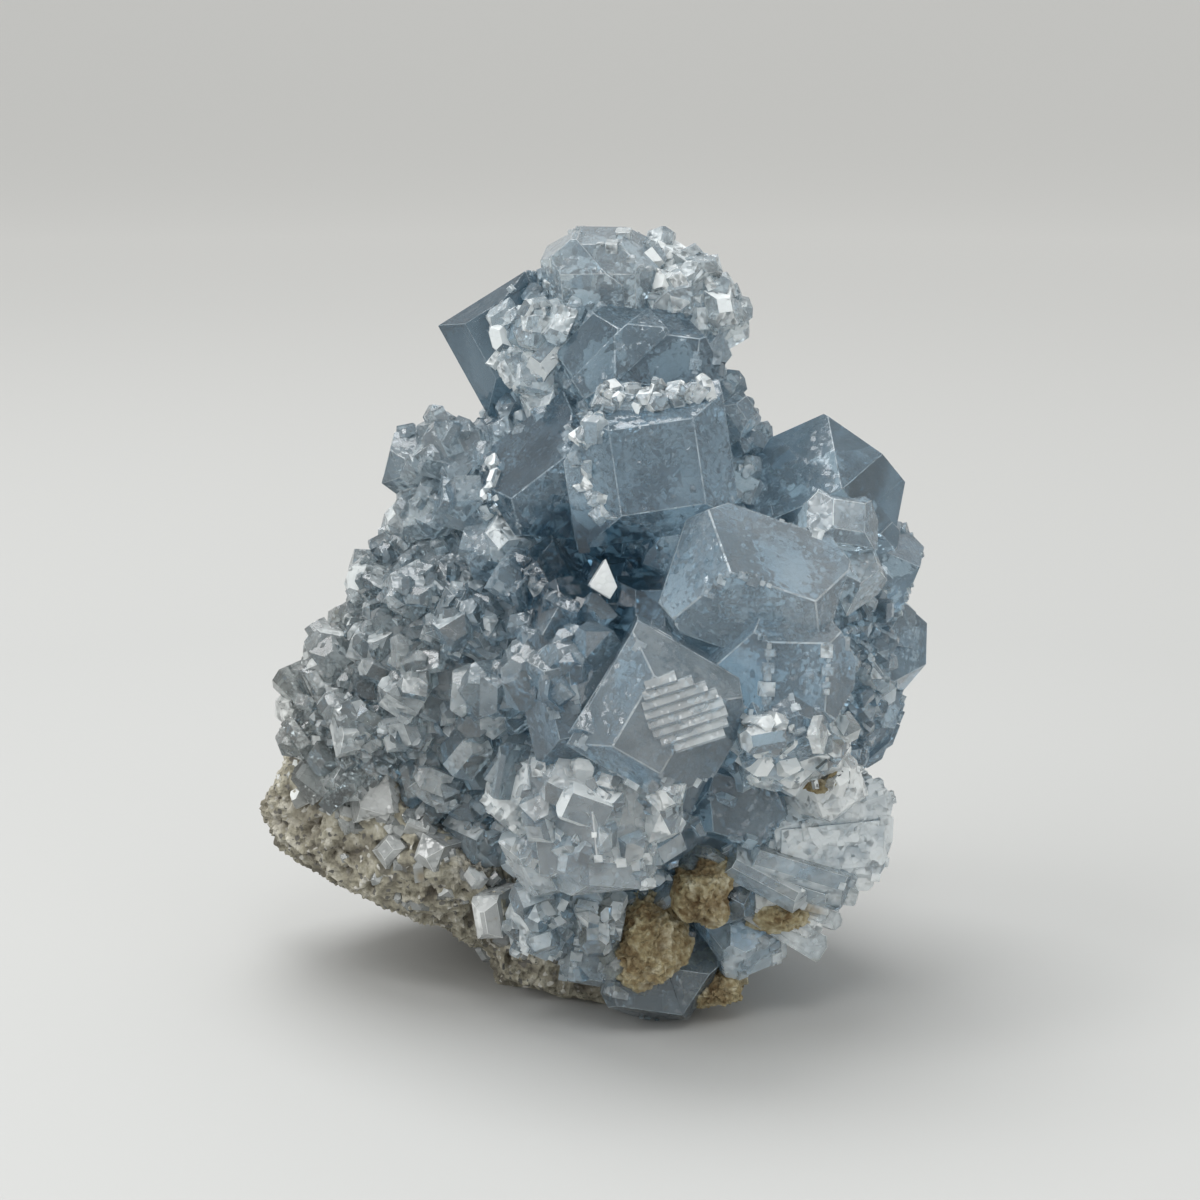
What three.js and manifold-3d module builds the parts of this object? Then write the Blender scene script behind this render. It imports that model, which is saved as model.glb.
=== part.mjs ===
// A celestite geode fragment: a steep cluster of pale blue celestite crystals standing on the piece of
// sandy host rock that it grew from, with ochre marl left between the lowest crystals.
// Millimetres, +Z up, +X to the right and +Y away from the front. The origin is on the flat spot it rests on.
import * as THREE from "three";
import { ConvexGeometry } from "three/addons/geometries/ConvexGeometry.js";
import { mergeVertices } from "three/addons/utils/BufferGeometryUtils.js";
import Module from "manifold-3d";

const wasm = await Module();
wasm.setup();

// Angles between the faces of celestite, in degrees, from its unit cell
const M_TO_A = 38.0; // prism {210} to the a axis
const O_TO_C = 52.1; // dome {011} to the c axis
const D_TO_C = 39.4; // dome {101} to the c axis

// Driving dimensions
const GAP = 0.3; // between two solids that touch
const BURIED = 1.2; // how far a crystal reaches back into the cluster, in widths

// How a crystal's faces have grown
const FACE_SPREAD = 0.16; // how uneven they are
const SIDE_TRIM = [0.7, 0.8]; // how near its middle the narrow side faces are, as a share of a full corner
const ODD_FACE = 0.42; // how near its middle the odd face on its head is, in widths
const ODD_LEAN = [0.5, 1.2]; // and how steep
const SMALL = 5; // a crystal narrower than this has no narrow faces
const ORNATE = 0.65; // the share of its narrow faces that a larger crystal has
const SHARP = 0; // and a sharp one
const SIMPLE = 0.1; // and one of the druse

// A crystal that has grown beside another, as shares of that one's size
const BESIDE_SIZE = [0.5, 0.75];
const BESIDE_REACH = 0.32;
const BESIDE_RISE = 0.12;
const BESIDE_TURN = 1; // radians, from one side to the other

// A crystal's form by the axis that it is long in: the angle of its narrow side faces to its thickness, the
// faces of its head as [angle to its length, the size that they slope across, height as a share of that size],
// and the height of a flat top as a share of its thickness
const HABITS = {
  a: { side: O_TO_C, head: [[M_TO_A, "width", 0.17], [90 - D_TO_C, "thick", 0.3]] },
  b: { side: D_TO_C, head: [[90 - O_TO_C, "thick", 0.17], [90 - M_TO_A, "width", 0.32]] },
  c: { side: 90 - M_TO_A, head: [[D_TO_C, "width", 0.24], [O_TO_C, "thick", 0.3]], flat: 0.14 },
};

const rad = THREE.MathUtils.degToRad;
const mix = THREE.MathUtils.lerp;

// A seeded random number from 0 to 1.
function randomFrom(seed) {
  let state = seed >>> 0;
  return () => {
    state = (state + 0x6d2b79f5) >>> 0;
    let t = Math.imul(state ^ (state >>> 15), 1 | state);
    t = (t + Math.imul(t ^ (t >>> 7), 61 | t)) ^ t;
    return ((t ^ (t >>> 14)) >>> 0) / 4294967296;
  };
}

// The crystals that show most, placed one by one. Each line holds the middle of the head, the way that it grew,
// its roll about that way, its width, its thickness, the crystal axis that it is long in, and how many smaller
// crystals have grown beside it.
const CROWN = [
  [[0.3, -3.5, 66.8], [-0.05, -0.3, 0.95], 0, 9, 8, "c", 0],
  [[6, -2, 66.5], [0.3, -0.4, 0.85], 20, 4.6, 4, "c", 0],
  [[8.8, -2, 64.9], [0.45, -0.4, 0.8], 45, 4.8, 4.2, "b", 0],
  [[5.4, -5, 63.2], [0.2, -0.8, 0.5], -30, 4.4, 3.6, "a", 0],
  [[10.6, -1, 61.6], [0.8, -0.45, 0.35], 10, 7, 7, "b", 0],
  [[10, -3, 57.4], [0.75, -0.6, 0.1], 30, 5, 4.6, "c", 0],
  [[-8.4, -3.5, 58.6], [-0.25, -0.93, 0.2], 33, 9.2, 9.2, "c", 0, SHARP],
  [[-5.6, -6, 61], [-0.35, -0.75, 0.55], 15, 4, 3.4, "a", 0],
  [[-6.3, -7, 56.8], [-0.4, -0.85, 0.2], 60, 4, 3.4, "c", 0],
  [[-5, -7.5, 53.6], [-0.3, -0.9, 0], 20, 3.6, 3.2, "b", 0],
  [[4, -9.5, 57.8], [0.08, -0.95, 0.3], -8, 13.8, 10, "c", 0],
];
const HEART = [
  [[4.7, -17.5, 50.6], [0.04, -0.97, 0.2], 8, 13.8, 12.4, "c", 0],
  [[2.2, -15.8, 55.4], [-0.05, -0.75, 0.65], -10, 5.5, 3, "b", 0],
  [[7, -15.8, 55.7], [0.1, -0.75, 0.65], 10, 6, 3, "b", 0],
  [[-4.6, -12.5, 48], [-0.3, -0.9, 0.25], 40, 11, 11.5, "b", 0],
  [[12.3, -8, 53.2], [0.6, -0.6, 0.5], 20, 3.4, 3.2, "c", 0],
];
const LEFT_SHELF = [
  [[-17.3, -3, 49], [-0.65, -0.5, 0.6], 25, 6, 5, "a", 0],
  [[-13.5, -6, 50.2], [-0.35, -0.7, 0.65], 70, 5, 6, "b", 1],
  [[-11.5, -10, 45.5], [-0.35, -0.9, 0.2], 80, 4.2, 6.5, "a", 0],
  [[-16, -6, 44], [-0.6, -0.75, 0.15], 15, 5.5, 5, "c", 0],
  [[-9, -12, 42.5], [-0.3, -0.9, 0.3], 50, 4, 3.6, "c", 0],
];
const RIGHT_WING = [
  [[23.6, -8, 47.8], [0.86, -0.26, 0.44], 45, 9, 9, "a", 0, SHARP],
  [[16, -6, 47], [0.3, -0.6, 0.75], 15, 7, 7, "b", 0],
  [[20.7, -13.5, 45], [0.35, -0.85, 0.4], -12, 6, 5, "c", 0],
  [[22.3, -12.5, 39.8], [0.5, -0.85, 0.1], 25, 5, 6, "b", 0],
];
const RIGHT_FLANK = [
  [[27, 2, 38], [0.93, -0.25, 0.25], 15, 9, 9, "b", 0],
  [[28, 3, 30], [0.96, -0.25, 0.05], -20, 8.5, 8, "a", 0],
  [[26, 4, 22], [0.9, -0.2, -0.35], 30, 8, 8, "c", 0],
  [[22.5, -7, 31], [0.8, -0.6, 0.05], 45, 7, 7.5, "a", 0],
];
const FRONT = [
  [[13.6, -22.5, 40.9], [0.1, -0.95, 0.28], -20, 14.5, 10.8, "b", 0],
  [[15.6, -24, 34], [0.22, -0.96, 0.05], -4, 13, 9.5, "c", 1],
  [[5, -27, 31.3], [0, -0.99, 0.1], -30, 11.8, 12.6, "c", 0],
  [[-2.5, -24, 31.5], [-0.25, -0.95, 0.1], 15, 9, 12, "c", 0],
  [[-4.1, -21, 36], [-0.35, -0.88, 0.3], 65, 10.5, 7, "b", 0],
  [[0.4, -14.5, 40], [0.05, -0.9, 0.42], -15, 2.6, 4.6, "c", 0],
  [[4, -19, 38.3], [0.05, -0.95, 0.3], 0, 5.6, 6.4, "c", 0],
  [[-5.5, -16, 40.2], [-0.25, -0.9, 0.3], 35, 5, 5, "c", 0],
  [[7, -16.5, 43.5], [0.1, -0.85, 0.5], -20, 6, 4.5, "b", 0],
  [[-9.5, -18, 30.5], [-0.45, -0.85, 0.15], 40, 5.5, 5, "c", 0],
];
const FOOT = [
  [[-0.2, -24, 21.5], [-0.05, -0.97, -0.1], 5, 12.5, 10.5, "a", 1],
  [[-6.5, -20, 22], [-0.3, -0.9, -0.1], 50, 7, 6.5, "b", 0],
  [[-5, -19.5, 16], [-0.2, -0.9, -0.3], 20, 6, 6, "c", 0],
  [[17, -20, 26.3], [0.35, -0.92, 0.1], -8, 9.5, 6, "b", 1],
  [[20.5, -16, 22], [0.6, -0.78, 0.1], 20, 6, 5, "c", 0],
  [[11.5, -16, 19], [0.1, -0.85, -0.5], -25, 9, 9, "b", 0],
  [[13.5, -13, 6.5], [0.45, -0.8, -0.35], 15, 7, 6.5, "c", 0],
  [[12, -15.5, 11.5], [0.3, -0.9, -0.2], 10, 5, 4.5, "a", 0],
  [[4.8, -15.5, 2.8], [0.05, -0.9, -0.4], -12, 9.5, 6, "b", 0],
  [[-0.9, -16.5, 7.8], [-0.1, -0.93, -0.3], 80, 10, 5, "c", 0],
  [[-5.3, -17, 10], [-0.25, -0.9, -0.3], 65, 7, 5.5, "b", 0],
];
// Bladed crystals that spread like a fan from the foot's middle to the right
const FAN = [
  [[23.6, -8.5, 19.8], [0.9, 0.3, 0.2], 0, 9, 4.2, "b", 0],
  [[24.2, -8, 16.8], [0.92, 0.3, 0], 4, 9, 4, "c", 0],
  [[23.3, -9, 14], [0.9, 0.28, -0.18], -3, 9, 4, "b", 0],
  [[20.4, -11, 12.2], [0.88, 0.25, -0.35], 5, 8, 4, "c", 0],
  [[17.5, -12.5, 11.8], [0.8, 0.2, -0.5], -4, 7, 3.4, "b", 0],
];

// One crystal's faces as [normal, distance from the middle of the head], in its own frame: z is the way that
// it grew, x its width and y its thickness. It has the share of its narrow faces that ornate says.
function facesOf(width, thick, longAxis, seed, ornate) {
  const random = randomFrom(seed);
  const uneven = () => 1 + FACE_SPREAD * (2 * random() - 1);
  const trim = mix(...SIDE_TRIM, random());
  const size = { width, thick };
  const habit = HABITS[longAxis];
  const faces = [];
  const add = (x, y, z, distance) => faces.push([new THREE.Vector3(x, y, z).normalize(), distance]);
  for (const side of [1, -1]) add(side, 0, 0, (width / 2) * uneven());
  for (const side of [1, -1]) add(0, side, 0, (thick / 2) * uneven());
  const sine = Math.sin(rad(habit.side));
  const cosine = Math.cos(rad(habit.side));
  for (const [right, front] of [[1, 1], [-1, 1], [-1, -1], [1, -1]]) {
    const distance = ((width / 2) * sine + (thick / 2) * cosine) * trim * uneven();
    if (random() < ornate) add(right * sine, front * cosine, 0, distance);
  }
  for (const [angle, across, height] of habit.head) {
    const slope = Math.sin(rad(angle));
    for (const side of [1, -1]) {
      const [x, y] = across === "width" ? [side * slope, 0] : [0, side * slope];
      add(x, y, Math.cos(rad(angle)), height * size[across] * uneven());
    }
  }
  if (habit.flat) add(0, 0, 1, habit.flat * thick * uneven());
  const turn = 2 * Math.PI * random();
  const lean = mix(...ODD_LEAN, random());
  const odd = ODD_FACE * Math.min(width, thick);
  if (random() < ornate) add(Math.cos(turn) * lean, Math.sin(turn) * lean, 1, odd);
  add(0, 0, -1, BURIED * Math.max(width, thick));
  return faces;
}

// The corners of the solid that the faces bound: each point where three faces meet that is inside the others.
function cornersOf(faces) {
  const corners = [];
  const meeting = new THREE.Matrix3();
  for (let i = 0; i < faces.length; i++) {
    for (let j = i + 1; j < faces.length; j++) {
      for (let k = j + 1; k < faces.length; k++) {
        const [p, q, r] = [faces[i], faces[j], faces[k]];
        meeting.set(p[0].x, p[0].y, p[0].z, q[0].x, q[0].y, q[0].z, r[0].x, r[0].y, r[0].z);
        if (Math.abs(meeting.determinant()) < 1e-4) continue;
        const point = new THREE.Vector3(p[1], q[1], r[1]).applyMatrix3(meeting.invert());
        if (faces.some(([normal, distance]) => normal.dot(point) > distance + 1e-6)) continue;
        if (corners.every((corner) => corner.distanceTo(point) > 1e-3)) corners.push(point);
      }
    }
  }
  return corners;
}

// The matrix that turns a crystal's own frame to the way that it grew, and sets it at its place.
function placed(place, growth, roll) {
  const z = new THREE.Vector3(...growth).normalize();
  const up = new THREE.Vector3(0, 0, 1);
  const x = Math.abs(z.z) > 0.999 ? new THREE.Vector3(1, 0, 0) : up.cross(z).normalize();
  const y = new THREE.Vector3().crossVectors(z, x);
  const frame = new THREE.Matrix4().makeBasis(x, y, z).setPosition(...place);
  return frame.multiply(new THREE.Matrix4().makeRotationZ(rad(roll)));
}

// A closed three.js geometry as a solid.
function solidOf(geometry) {
  const bare = new THREE.BufferGeometry();
  bare.setAttribute("position", geometry.getAttribute("position").clone());
  if (geometry.index) bare.setIndex(geometry.index.clone());
  const merged = mergeVertices(bare, 1e-4);
  const vertProperties = merged.getAttribute("position").array;
  const triVerts = new Uint32Array(merged.index.array);
  return new wasm.Manifold(new wasm.Mesh({ numProp: 3, vertProperties, triVerts }));
}

// A solid as a three.js geometry.
function geometryOf(solid) {
  const { vertProperties, triVerts, numProp } = solid.getMesh();
  const count = vertProperties.length / numProp;
  const positions = new Float32Array(3 * count);
  for (let i = 0; i < count; i++) {
    positions.set(vertProperties.subarray(i * numProp, i * numProp + 3), 3 * i);
  }
  const geometry = new THREE.BufferGeometry();
  geometry.setAttribute("position", new THREE.BufferAttribute(positions, 3));
  geometry.setIndex(new THREE.BufferAttribute(triVerts, 1));
  return geometry;
}

// One crystal with the smaller ones beside it, as solids, larger all round by grow.
function crystals([place, growth, roll, width, thick, longAxis, beside, share], seed, grow = 0) {
  const random = randomFrom(seed * 7919 + 13);
  const frame = placed(place, growth, roll);
  const one = (number, scale, lean, shift) => {
    const usual = width < SMALL || number > 0 ? 0 : ORNATE;
    const faces = facesOf(width * scale, thick * scale, longAxis, seed * 31 + number, share ?? usual);
    for (const face of faces) face[1] += grow;
    const corners = cornersOf(faces).map((corner) => corner.applyEuler(lean).add(shift).applyMatrix4(frame));
    return solidOf(new ConvexGeometry(corners));
  };
  const grown = [one(0, 1, new THREE.Euler(), new THREE.Vector3())];
  for (let n = 1; n <= beside; n++) {
    const angle = 2 * Math.PI * random();
    const scale = mix(...BESIDE_SIZE, random());
    const shift = new THREE.Vector3(
      BESIDE_REACH * width * Math.cos(angle),
      BESIDE_REACH * thick * Math.sin(angle),
      BESIDE_RISE * thick * random(),
    );
    const turns = [random(), random(), random()].map((value) => BESIDE_TURN * (value - 0.5));
    grown.push(one(n, scale, new THREE.Euler(...turns), shift));
  }
  return grown;
}

// A smooth random field over space, from 0 to 1, that changes over about one unit.
function noise(x, y, z) {
  const corner = (i, j, k) => {
    let h = Math.imul(i, 374761393) ^ Math.imul(j, 668265263) ^ Math.imul(k, 2147483647);
    h = Math.imul(h ^ (h >>> 13), 1274126177);
    return ((h ^ (h >>> 16)) >>> 0) / 4294967296;
  };
  const ease = (t) => t * t * (3 - 2 * t);
  const [i, j, k] = [Math.floor(x), Math.floor(y), Math.floor(z)];
  const [u, v, w] = [ease(x - i), ease(y - j), ease(z - k)];
  const edge = (b, c) => mix(corner(i, j + b, k + c), corner(i + 1, j + b, k + c), u);
  return mix(mix(edge(0, 0), edge(1, 0), v), mix(edge(0, 1), edge(1, 1), v), w);
}

// A ball whose reach from its middle is reachTo(direction), with a rough skin, larger all round by grow.
function roughBall({ middle, detail, rough, grain }, grow, reachTo) {
  const ball = new THREE.IcosahedronGeometry(1, detail);
  const position = ball.getAttribute("position");
  const point = new THREE.Vector3();
  for (let i = 0; i < position.count; i++) {
    point.fromBufferAttribute(position, i).normalize();
    const reach = reachTo(point);
    const bumps = noise(...point.clone().multiplyScalar(reach / grain).addScalar(50).toArray());
    point.multiplyScalar(reach + rough * (2 * bumps - 1) + grow).add(new THREE.Vector3(...middle));
    position.setXYZ(i, ...point.toArray());
  }
  return solidOf(ball);
}

// A rounded lump.
function lump(shape, grow = 0) {
  const radii = new THREE.Vector3(...shape.radii);
  return roughBall(shape, grow, (direction) => 1 / direction.clone().divide(radii).length());
}

// How far a broken rock reaches from its middle in a direction: its breaks are flat, as
// [outward direction, distance from the middle], and softened where they meet.
function rockReach({ breaks, soft }, direction) {
  let nearness = 0;
  for (const [outward, distance] of breaks) {
    const facing = Math.max(0, new THREE.Vector3(...outward).normalize().dot(direction));
    nearness += (facing / distance) ** soft;
  }
  return nearness ** (-1 / soft);
}

function brokenRock(shape, grow = 0) {
  return roughBall(shape, grow, (direction) => rockReach(shape, direction));
}

// The massive celestite that the crystals stand on, in rounded lumps
const MASS = [
  [[4, 0, 25], [19.5, 18.5, 20.5]],
  [[2, -1, 43], [14, 11.5, 15]],
  [[0.5, -0.5, 57], [9.5, 7, 8]],
  [[17, 0, 31], [8.5, 12.5, 14]],
  [[-11, -1, 30], [11.5, 12.5, 14]],
  [[-19.5, -0.5, 24], [8, 9.5, 8.5]],
].map(([middle, radii]) => ({ middle, radii, detail: 1, rough: 0, grain: 1 }));

// The druse of smaller crystals that covers the rest of the mass
const DRUSE_SEED = 20;
const DRUSE_TRIES = 6000;
const FINEST = 3.2; // crystal size at the rock's left end
const COARSEST = 10.5; // and at the far right
const [LEFT_END, RIGHT_END] = [-30, 25];
const COARSER_BACK = 1 / 60; // how much coarser it gets behind, for each millimetre
const WIDTHS = [0.85, 1.15]; // as shares of a crystal's size
const THICKNESSES = [0.7, 1.05];
const LEAN = 0.9; // how far a crystal may lean away from the surface that it stands on
const RAISED = 0.35; // how far its head stands out, in sizes
const CROWDING = 0.56; // least distance between two crystals, as a share of their sizes together
const LOWEST = 3; // none grows below this height
const BARE_ABOVE = 46; // the front has only placed crystals from here up

// The host rock: the slab under the left side, the foot that it stands on and the wall up its back
const HOST = [
  {
    middle: [-15, 0, 14],
    breaks: [
      [[-0.44, -0.1, -0.9], 8.6], [[0.55, 0, 0.83], 3.4], [[-0.5, -0.86, 0], 10.5], [[-1, 0.1, 0.1], 17.6],
      [[-0.4, 0.9, 0.1], 17], [[1, 0, -0.4], 15], [[-0.8, 0, 0.6], 15.3], [[0.1, -0.8, -0.6], 11],
    ],
    soft: 9, rough: 0.9, grain: 3.2, detail: 4,
  },
  {
    middle: [2, 2, 5],
    breaks: [
      [[0, 0, -1], 6], [[0.2, 0, 1], 6], [[-0.2, -1, 0.1], 11.5], [[1, -0.2, -0.1], 10], [[-1, 0, -0.2], 13.5],
      [[0, 1, 0], 16], [[0.7, 0.7, 0], 13], [[-0.7, 0.7, 0], 13],
    ],
    soft: 8, rough: 0.8, grain: 3, detail: 2,
  },
  {
    middle: [-8, 13, 20],
    breaks: [
      [[-0.3, 0.95, 0], 8.5], [[0, -1, 0], 8], [[-1, 0.1, 0.2], 16], [[1, 0.3, 0.2], 17], [[0.1, 0, 1], 15],
      [[0, 0.4, -1], 16], [[-0.6, 0.5, 0.6], 14], [[0.5, 0.6, 0.7], 13], [[-0.3, 0.6, -0.8], 14],
      [[-0.5, 0, -0.87], 15],
    ],
    soft: 9, rough: 1.0, grain: 3.6, detail: 3,
  },
];

// Whether a point is in the host rock.
function insideRock(point) {
  return HOST.some((piece) => {
    const offset = point.clone().sub(new THREE.Vector3(...piece.middle));
    return offset.length() < rockReach(piece, offset.clone().normalize());
  });
}

// Whether a point is in a lump of the mass.
function insideMass(point, { middle, radii }) {
  const [dx, dy, dz] = [0, 1, 2].map((i) => (point.getComponent(i) - middle[i]) / radii[i]);
  return dx * dx + dy * dy + dz * dz < 0.98;
}

// The lines of the druse's crystals, in the form of the placed ones.
function druse(placedLines) {
  const random = randomFrom(DRUSE_SEED);
  const taken = placedLines.map(([place, , , width, thick]) => {
    return { point: new THREE.Vector3(...place), size: 0.75 * (width + thick) };
  });
  const lines = [];
  for (let n = 0; n < DRUSE_TRIES; n++) {
    const mass = MASS[Math.floor(random() * MASS.length)];
    const radii = new THREE.Vector3(...mass.radii);
    const tall = 2 * random() - 1;
    const turn = 2 * Math.PI * random();
    const flat = Math.sqrt(1 - tall * tall);
    const onBall = new THREE.Vector3(flat * Math.cos(turn), flat * Math.sin(turn), tall);
    const point = onBall.clone().multiply(radii).add(new THREE.Vector3(...mass.middle));
    const growth = onBall.divide(radii).normalize();
    growth.x += LEAN * (random() - 0.5);
    growth.y += LEAN * (random() - 0.5);
    growth.z += LEAN * (random() - 0.5);
    const along = (point.x - LEFT_END) / (RIGHT_END - LEFT_END) + Math.max(0, point.y) * COARSER_BACK;
    const size = mix(FINEST, COARSEST, THREE.MathUtils.clamp(along, 0, 1)) * (0.8 + 0.4 * random());
    const width = size * mix(...WIDTHS, random());
    const thick = size * mix(...THICKNESSES, random());
    const roll = 360 * random();
    const longAxis = "abc"[Math.floor(3 * random())];
    if (MASS.some((other) => other !== mass && insideMass(point, other))) continue;
    if (insideRock(point) || point.z < LOWEST || (point.y < 0 && point.z > BARE_ABOVE)) continue;
    if (taken.some((other) => other.point.distanceTo(point) < CROWDING * (other.size + size))) continue;
    taken.push({ point, size });
    const head = point.clone().addScaledVector(growth.normalize(), RAISED * size);
    lines.push([head.toArray(), growth.toArray(), roll, width, thick, longAxis, 0, SIMPLE]);
  }
  return lines;
}

// Grey crystals that sit singly in the rock, in the form of the placed ones
const POCKET_SEED = 9;
const POCKETS = [
  [[-20.5, -9.6, 19.2], [-0.5, -0.8, 0.2], 20, 4.4, 3.8, "a", 0],
  [[-18.6, -10.5, 15], [-0.5, -0.8, 0.2], 50, 2.8, 2.4, "c", 0],
  [[-15.1, -12.3, 15], [-0.5, -0.85, 0.1], -20, 2.4, 2.8, "b", 0],
  [[-9.8, -15.2, 10], [-0.4, -0.9, 0], 10, 2.4, 4, "c", 0],
];

// Patches of soft ochre marl left between the lowest crystals
const MARL = {
  ochre_marl_foot: { middle: [3.9, -13.8, 7.6], radii: [3.8, 4.4, 4.5] },
  ochre_marl_middle: { middle: [9, -15.2, 12.9], radii: [2.8, 4, 3.5] },
  ochre_marl_right: { middle: [15.4, -11.8, 10.2], radii: [3.5, 3.6, 2.1] },
  ochre_marl_low: { middle: [9.8, -11.6, 3], radii: [3, 3.2, 2] },
  ochre_marl_upper: { middle: [18.9, -17.6, 23.6], radii: [1.9, 2.6, 1.5] },
};
const marlSkin = { detail: 1, rough: 0.45, grain: 1.6 };

const placedLines = [CROWN, HEART, LEFT_SHELF, RIGHT_WING, RIGHT_FLANK, FRONT, FOOT, FAN].flat();
const smallLines = druse(placedLines);
const grown = [...placedLines, ...smallLines].flatMap((line, n) => crystals(line, n + 1));
const marl = Object.entries(MARL).map(([name, shape]) => [name, { ...shape, ...marlSkin }]);
const pockets = POCKETS.map((line, n) => [`pocket_crystal_${n + 1}`, line]);
const pocketSolid = ([, line], grow) => crystals(line, POCKET_SEED, grow)[0];

const floor = solidOf(new THREE.BoxGeometry(200, 200, 50).translate(0, 0, -25)); // cuts the flat spot
const inserts = [
  ...marl.map(([, shape]) => lump(shape, GAP)),
  ...pockets.map((pocket) => pocketSolid(pocket, GAP)),
];
const taken = wasm.Manifold.union([floor, ...inserts]);
const rock = wasm.Manifold.union(HOST.map((piece) => brokenRock(piece))).subtract(taken);
const rockSocket = wasm.Manifold.union(HOST.map((piece) => brokenRock(piece, GAP)));
const mass = wasm.Manifold.union(MASS.map((piece) => lump(piece)));
const cluster = wasm.Manifold.union([mass, ...grown]).subtract(rockSocket).subtract(taken);

const FINISHES = {
  celestite: new THREE.MeshStandardMaterial({ color: 0x9fb2c1, roughness: 0.2, metalness: 0 }),
  grey_celestite: new THREE.MeshStandardMaterial({ color: 0x7f858c, roughness: 0.25, metalness: 0 }),
  host_rock: new THREE.MeshStandardMaterial({ color: 0xa89c88, roughness: 0.95, metalness: 0 }),
  ochre_marl: new THREE.MeshStandardMaterial({ color: 0xb09a68, roughness: 1, metalness: 0 }),
};
const part = new THREE.Group();

// Adds the largest body of a solid, without the chips that a cut may leave.
function addNode(name, solid, finish) {
  const largest = solid.decompose().sort((p, q) => q.volume() - p.volume())[0];
  const mesh = new THREE.Mesh(geometryOf(largest), FINISHES[finish]);
  mesh.name = name;
  part.add(mesh);
}

addNode("crystal_cluster", cluster, "celestite");
addNode("matrix_rock", rock, "host_rock");
for (const [name, shape] of marl) addNode(name, lump(shape).subtract(floor), "ochre_marl");
for (const pocket of pockets) addNode(pocket[0], pocketSolid(pocket, 0), "grey_celestite");

export default part;
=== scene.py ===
"""A celestite geode fragment: a steep cluster of pale blue, translucent celestite crystals with frosted
edges, on the beige, grainy piece of host rock that it grew from, with patches of ochre marl between its
lowest crystals.

Crystals are laid out in millimetres, in the frame's own axes, and their meshes are in metres."""

import itertools
import math

import bmesh
import bpy
import numpy as np
from mathutils import Matrix, Vector, noise
from mathutils.bvhtree import BVHTree


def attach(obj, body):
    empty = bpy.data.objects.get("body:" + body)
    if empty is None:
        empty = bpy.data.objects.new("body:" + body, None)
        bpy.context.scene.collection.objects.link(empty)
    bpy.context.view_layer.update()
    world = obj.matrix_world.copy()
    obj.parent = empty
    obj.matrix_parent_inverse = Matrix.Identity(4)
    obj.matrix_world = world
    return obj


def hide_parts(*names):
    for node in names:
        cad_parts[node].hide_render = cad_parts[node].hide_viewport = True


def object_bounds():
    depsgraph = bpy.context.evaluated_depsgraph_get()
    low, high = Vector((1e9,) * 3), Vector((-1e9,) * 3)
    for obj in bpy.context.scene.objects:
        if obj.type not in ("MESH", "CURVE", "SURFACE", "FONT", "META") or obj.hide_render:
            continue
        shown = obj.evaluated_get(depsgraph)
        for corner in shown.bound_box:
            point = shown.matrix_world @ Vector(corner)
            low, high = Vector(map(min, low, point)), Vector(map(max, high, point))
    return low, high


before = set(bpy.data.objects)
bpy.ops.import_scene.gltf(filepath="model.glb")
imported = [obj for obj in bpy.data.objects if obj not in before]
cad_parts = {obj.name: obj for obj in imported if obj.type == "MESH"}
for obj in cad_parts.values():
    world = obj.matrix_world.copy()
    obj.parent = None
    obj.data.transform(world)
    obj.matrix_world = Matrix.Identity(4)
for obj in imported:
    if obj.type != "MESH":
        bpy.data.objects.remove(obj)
CAD_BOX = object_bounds()

MM = 0.001
WORD = 0xFFFFFFFF

# Angles between the faces of celestite, in degrees, from its unit cell
M_TO_A = 38.0
O_TO_C = 52.1
D_TO_C = 39.4

# How a crystal's faces have grown, as the solids have it
BURIED = 1.2
FACE_SPREAD = 0.16
SIDE_TRIM = (0.7, 0.8)
ODD_FACE = 0.42
ODD_LEAN = (0.5, 1.2)
SMALL = 5
ORNATE = 0.65
SHARP = 0
SIMPLE = 0.1
BESIDE_SIZE = (0.5, 0.75)
BESIDE_REACH = 0.32
BESIDE_RISE = 0.12
BESIDE_TURN = 1

PARALLEL = 1e-4
ON_FACE = 1e-6
SAME_CORNER = 1e-3
UPRIGHT = 0.999

# By long axis: the angle of the narrow side faces, the faces of the head as (angle, size that they slope
# across, height as a share of it), and the height of a flat top
HABITS = {
    "a": (O_TO_C, ((M_TO_A, "width", 0.17), (90 - D_TO_C, "thick", 0.3)), 0),
    "b": (D_TO_C, ((90 - O_TO_C, "thick", 0.17), (90 - M_TO_A, "width", 0.32)), 0),
    "c": (90 - M_TO_A, ((D_TO_C, "width", 0.24), (O_TO_C, "thick", 0.3)), 0.14),
}

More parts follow.
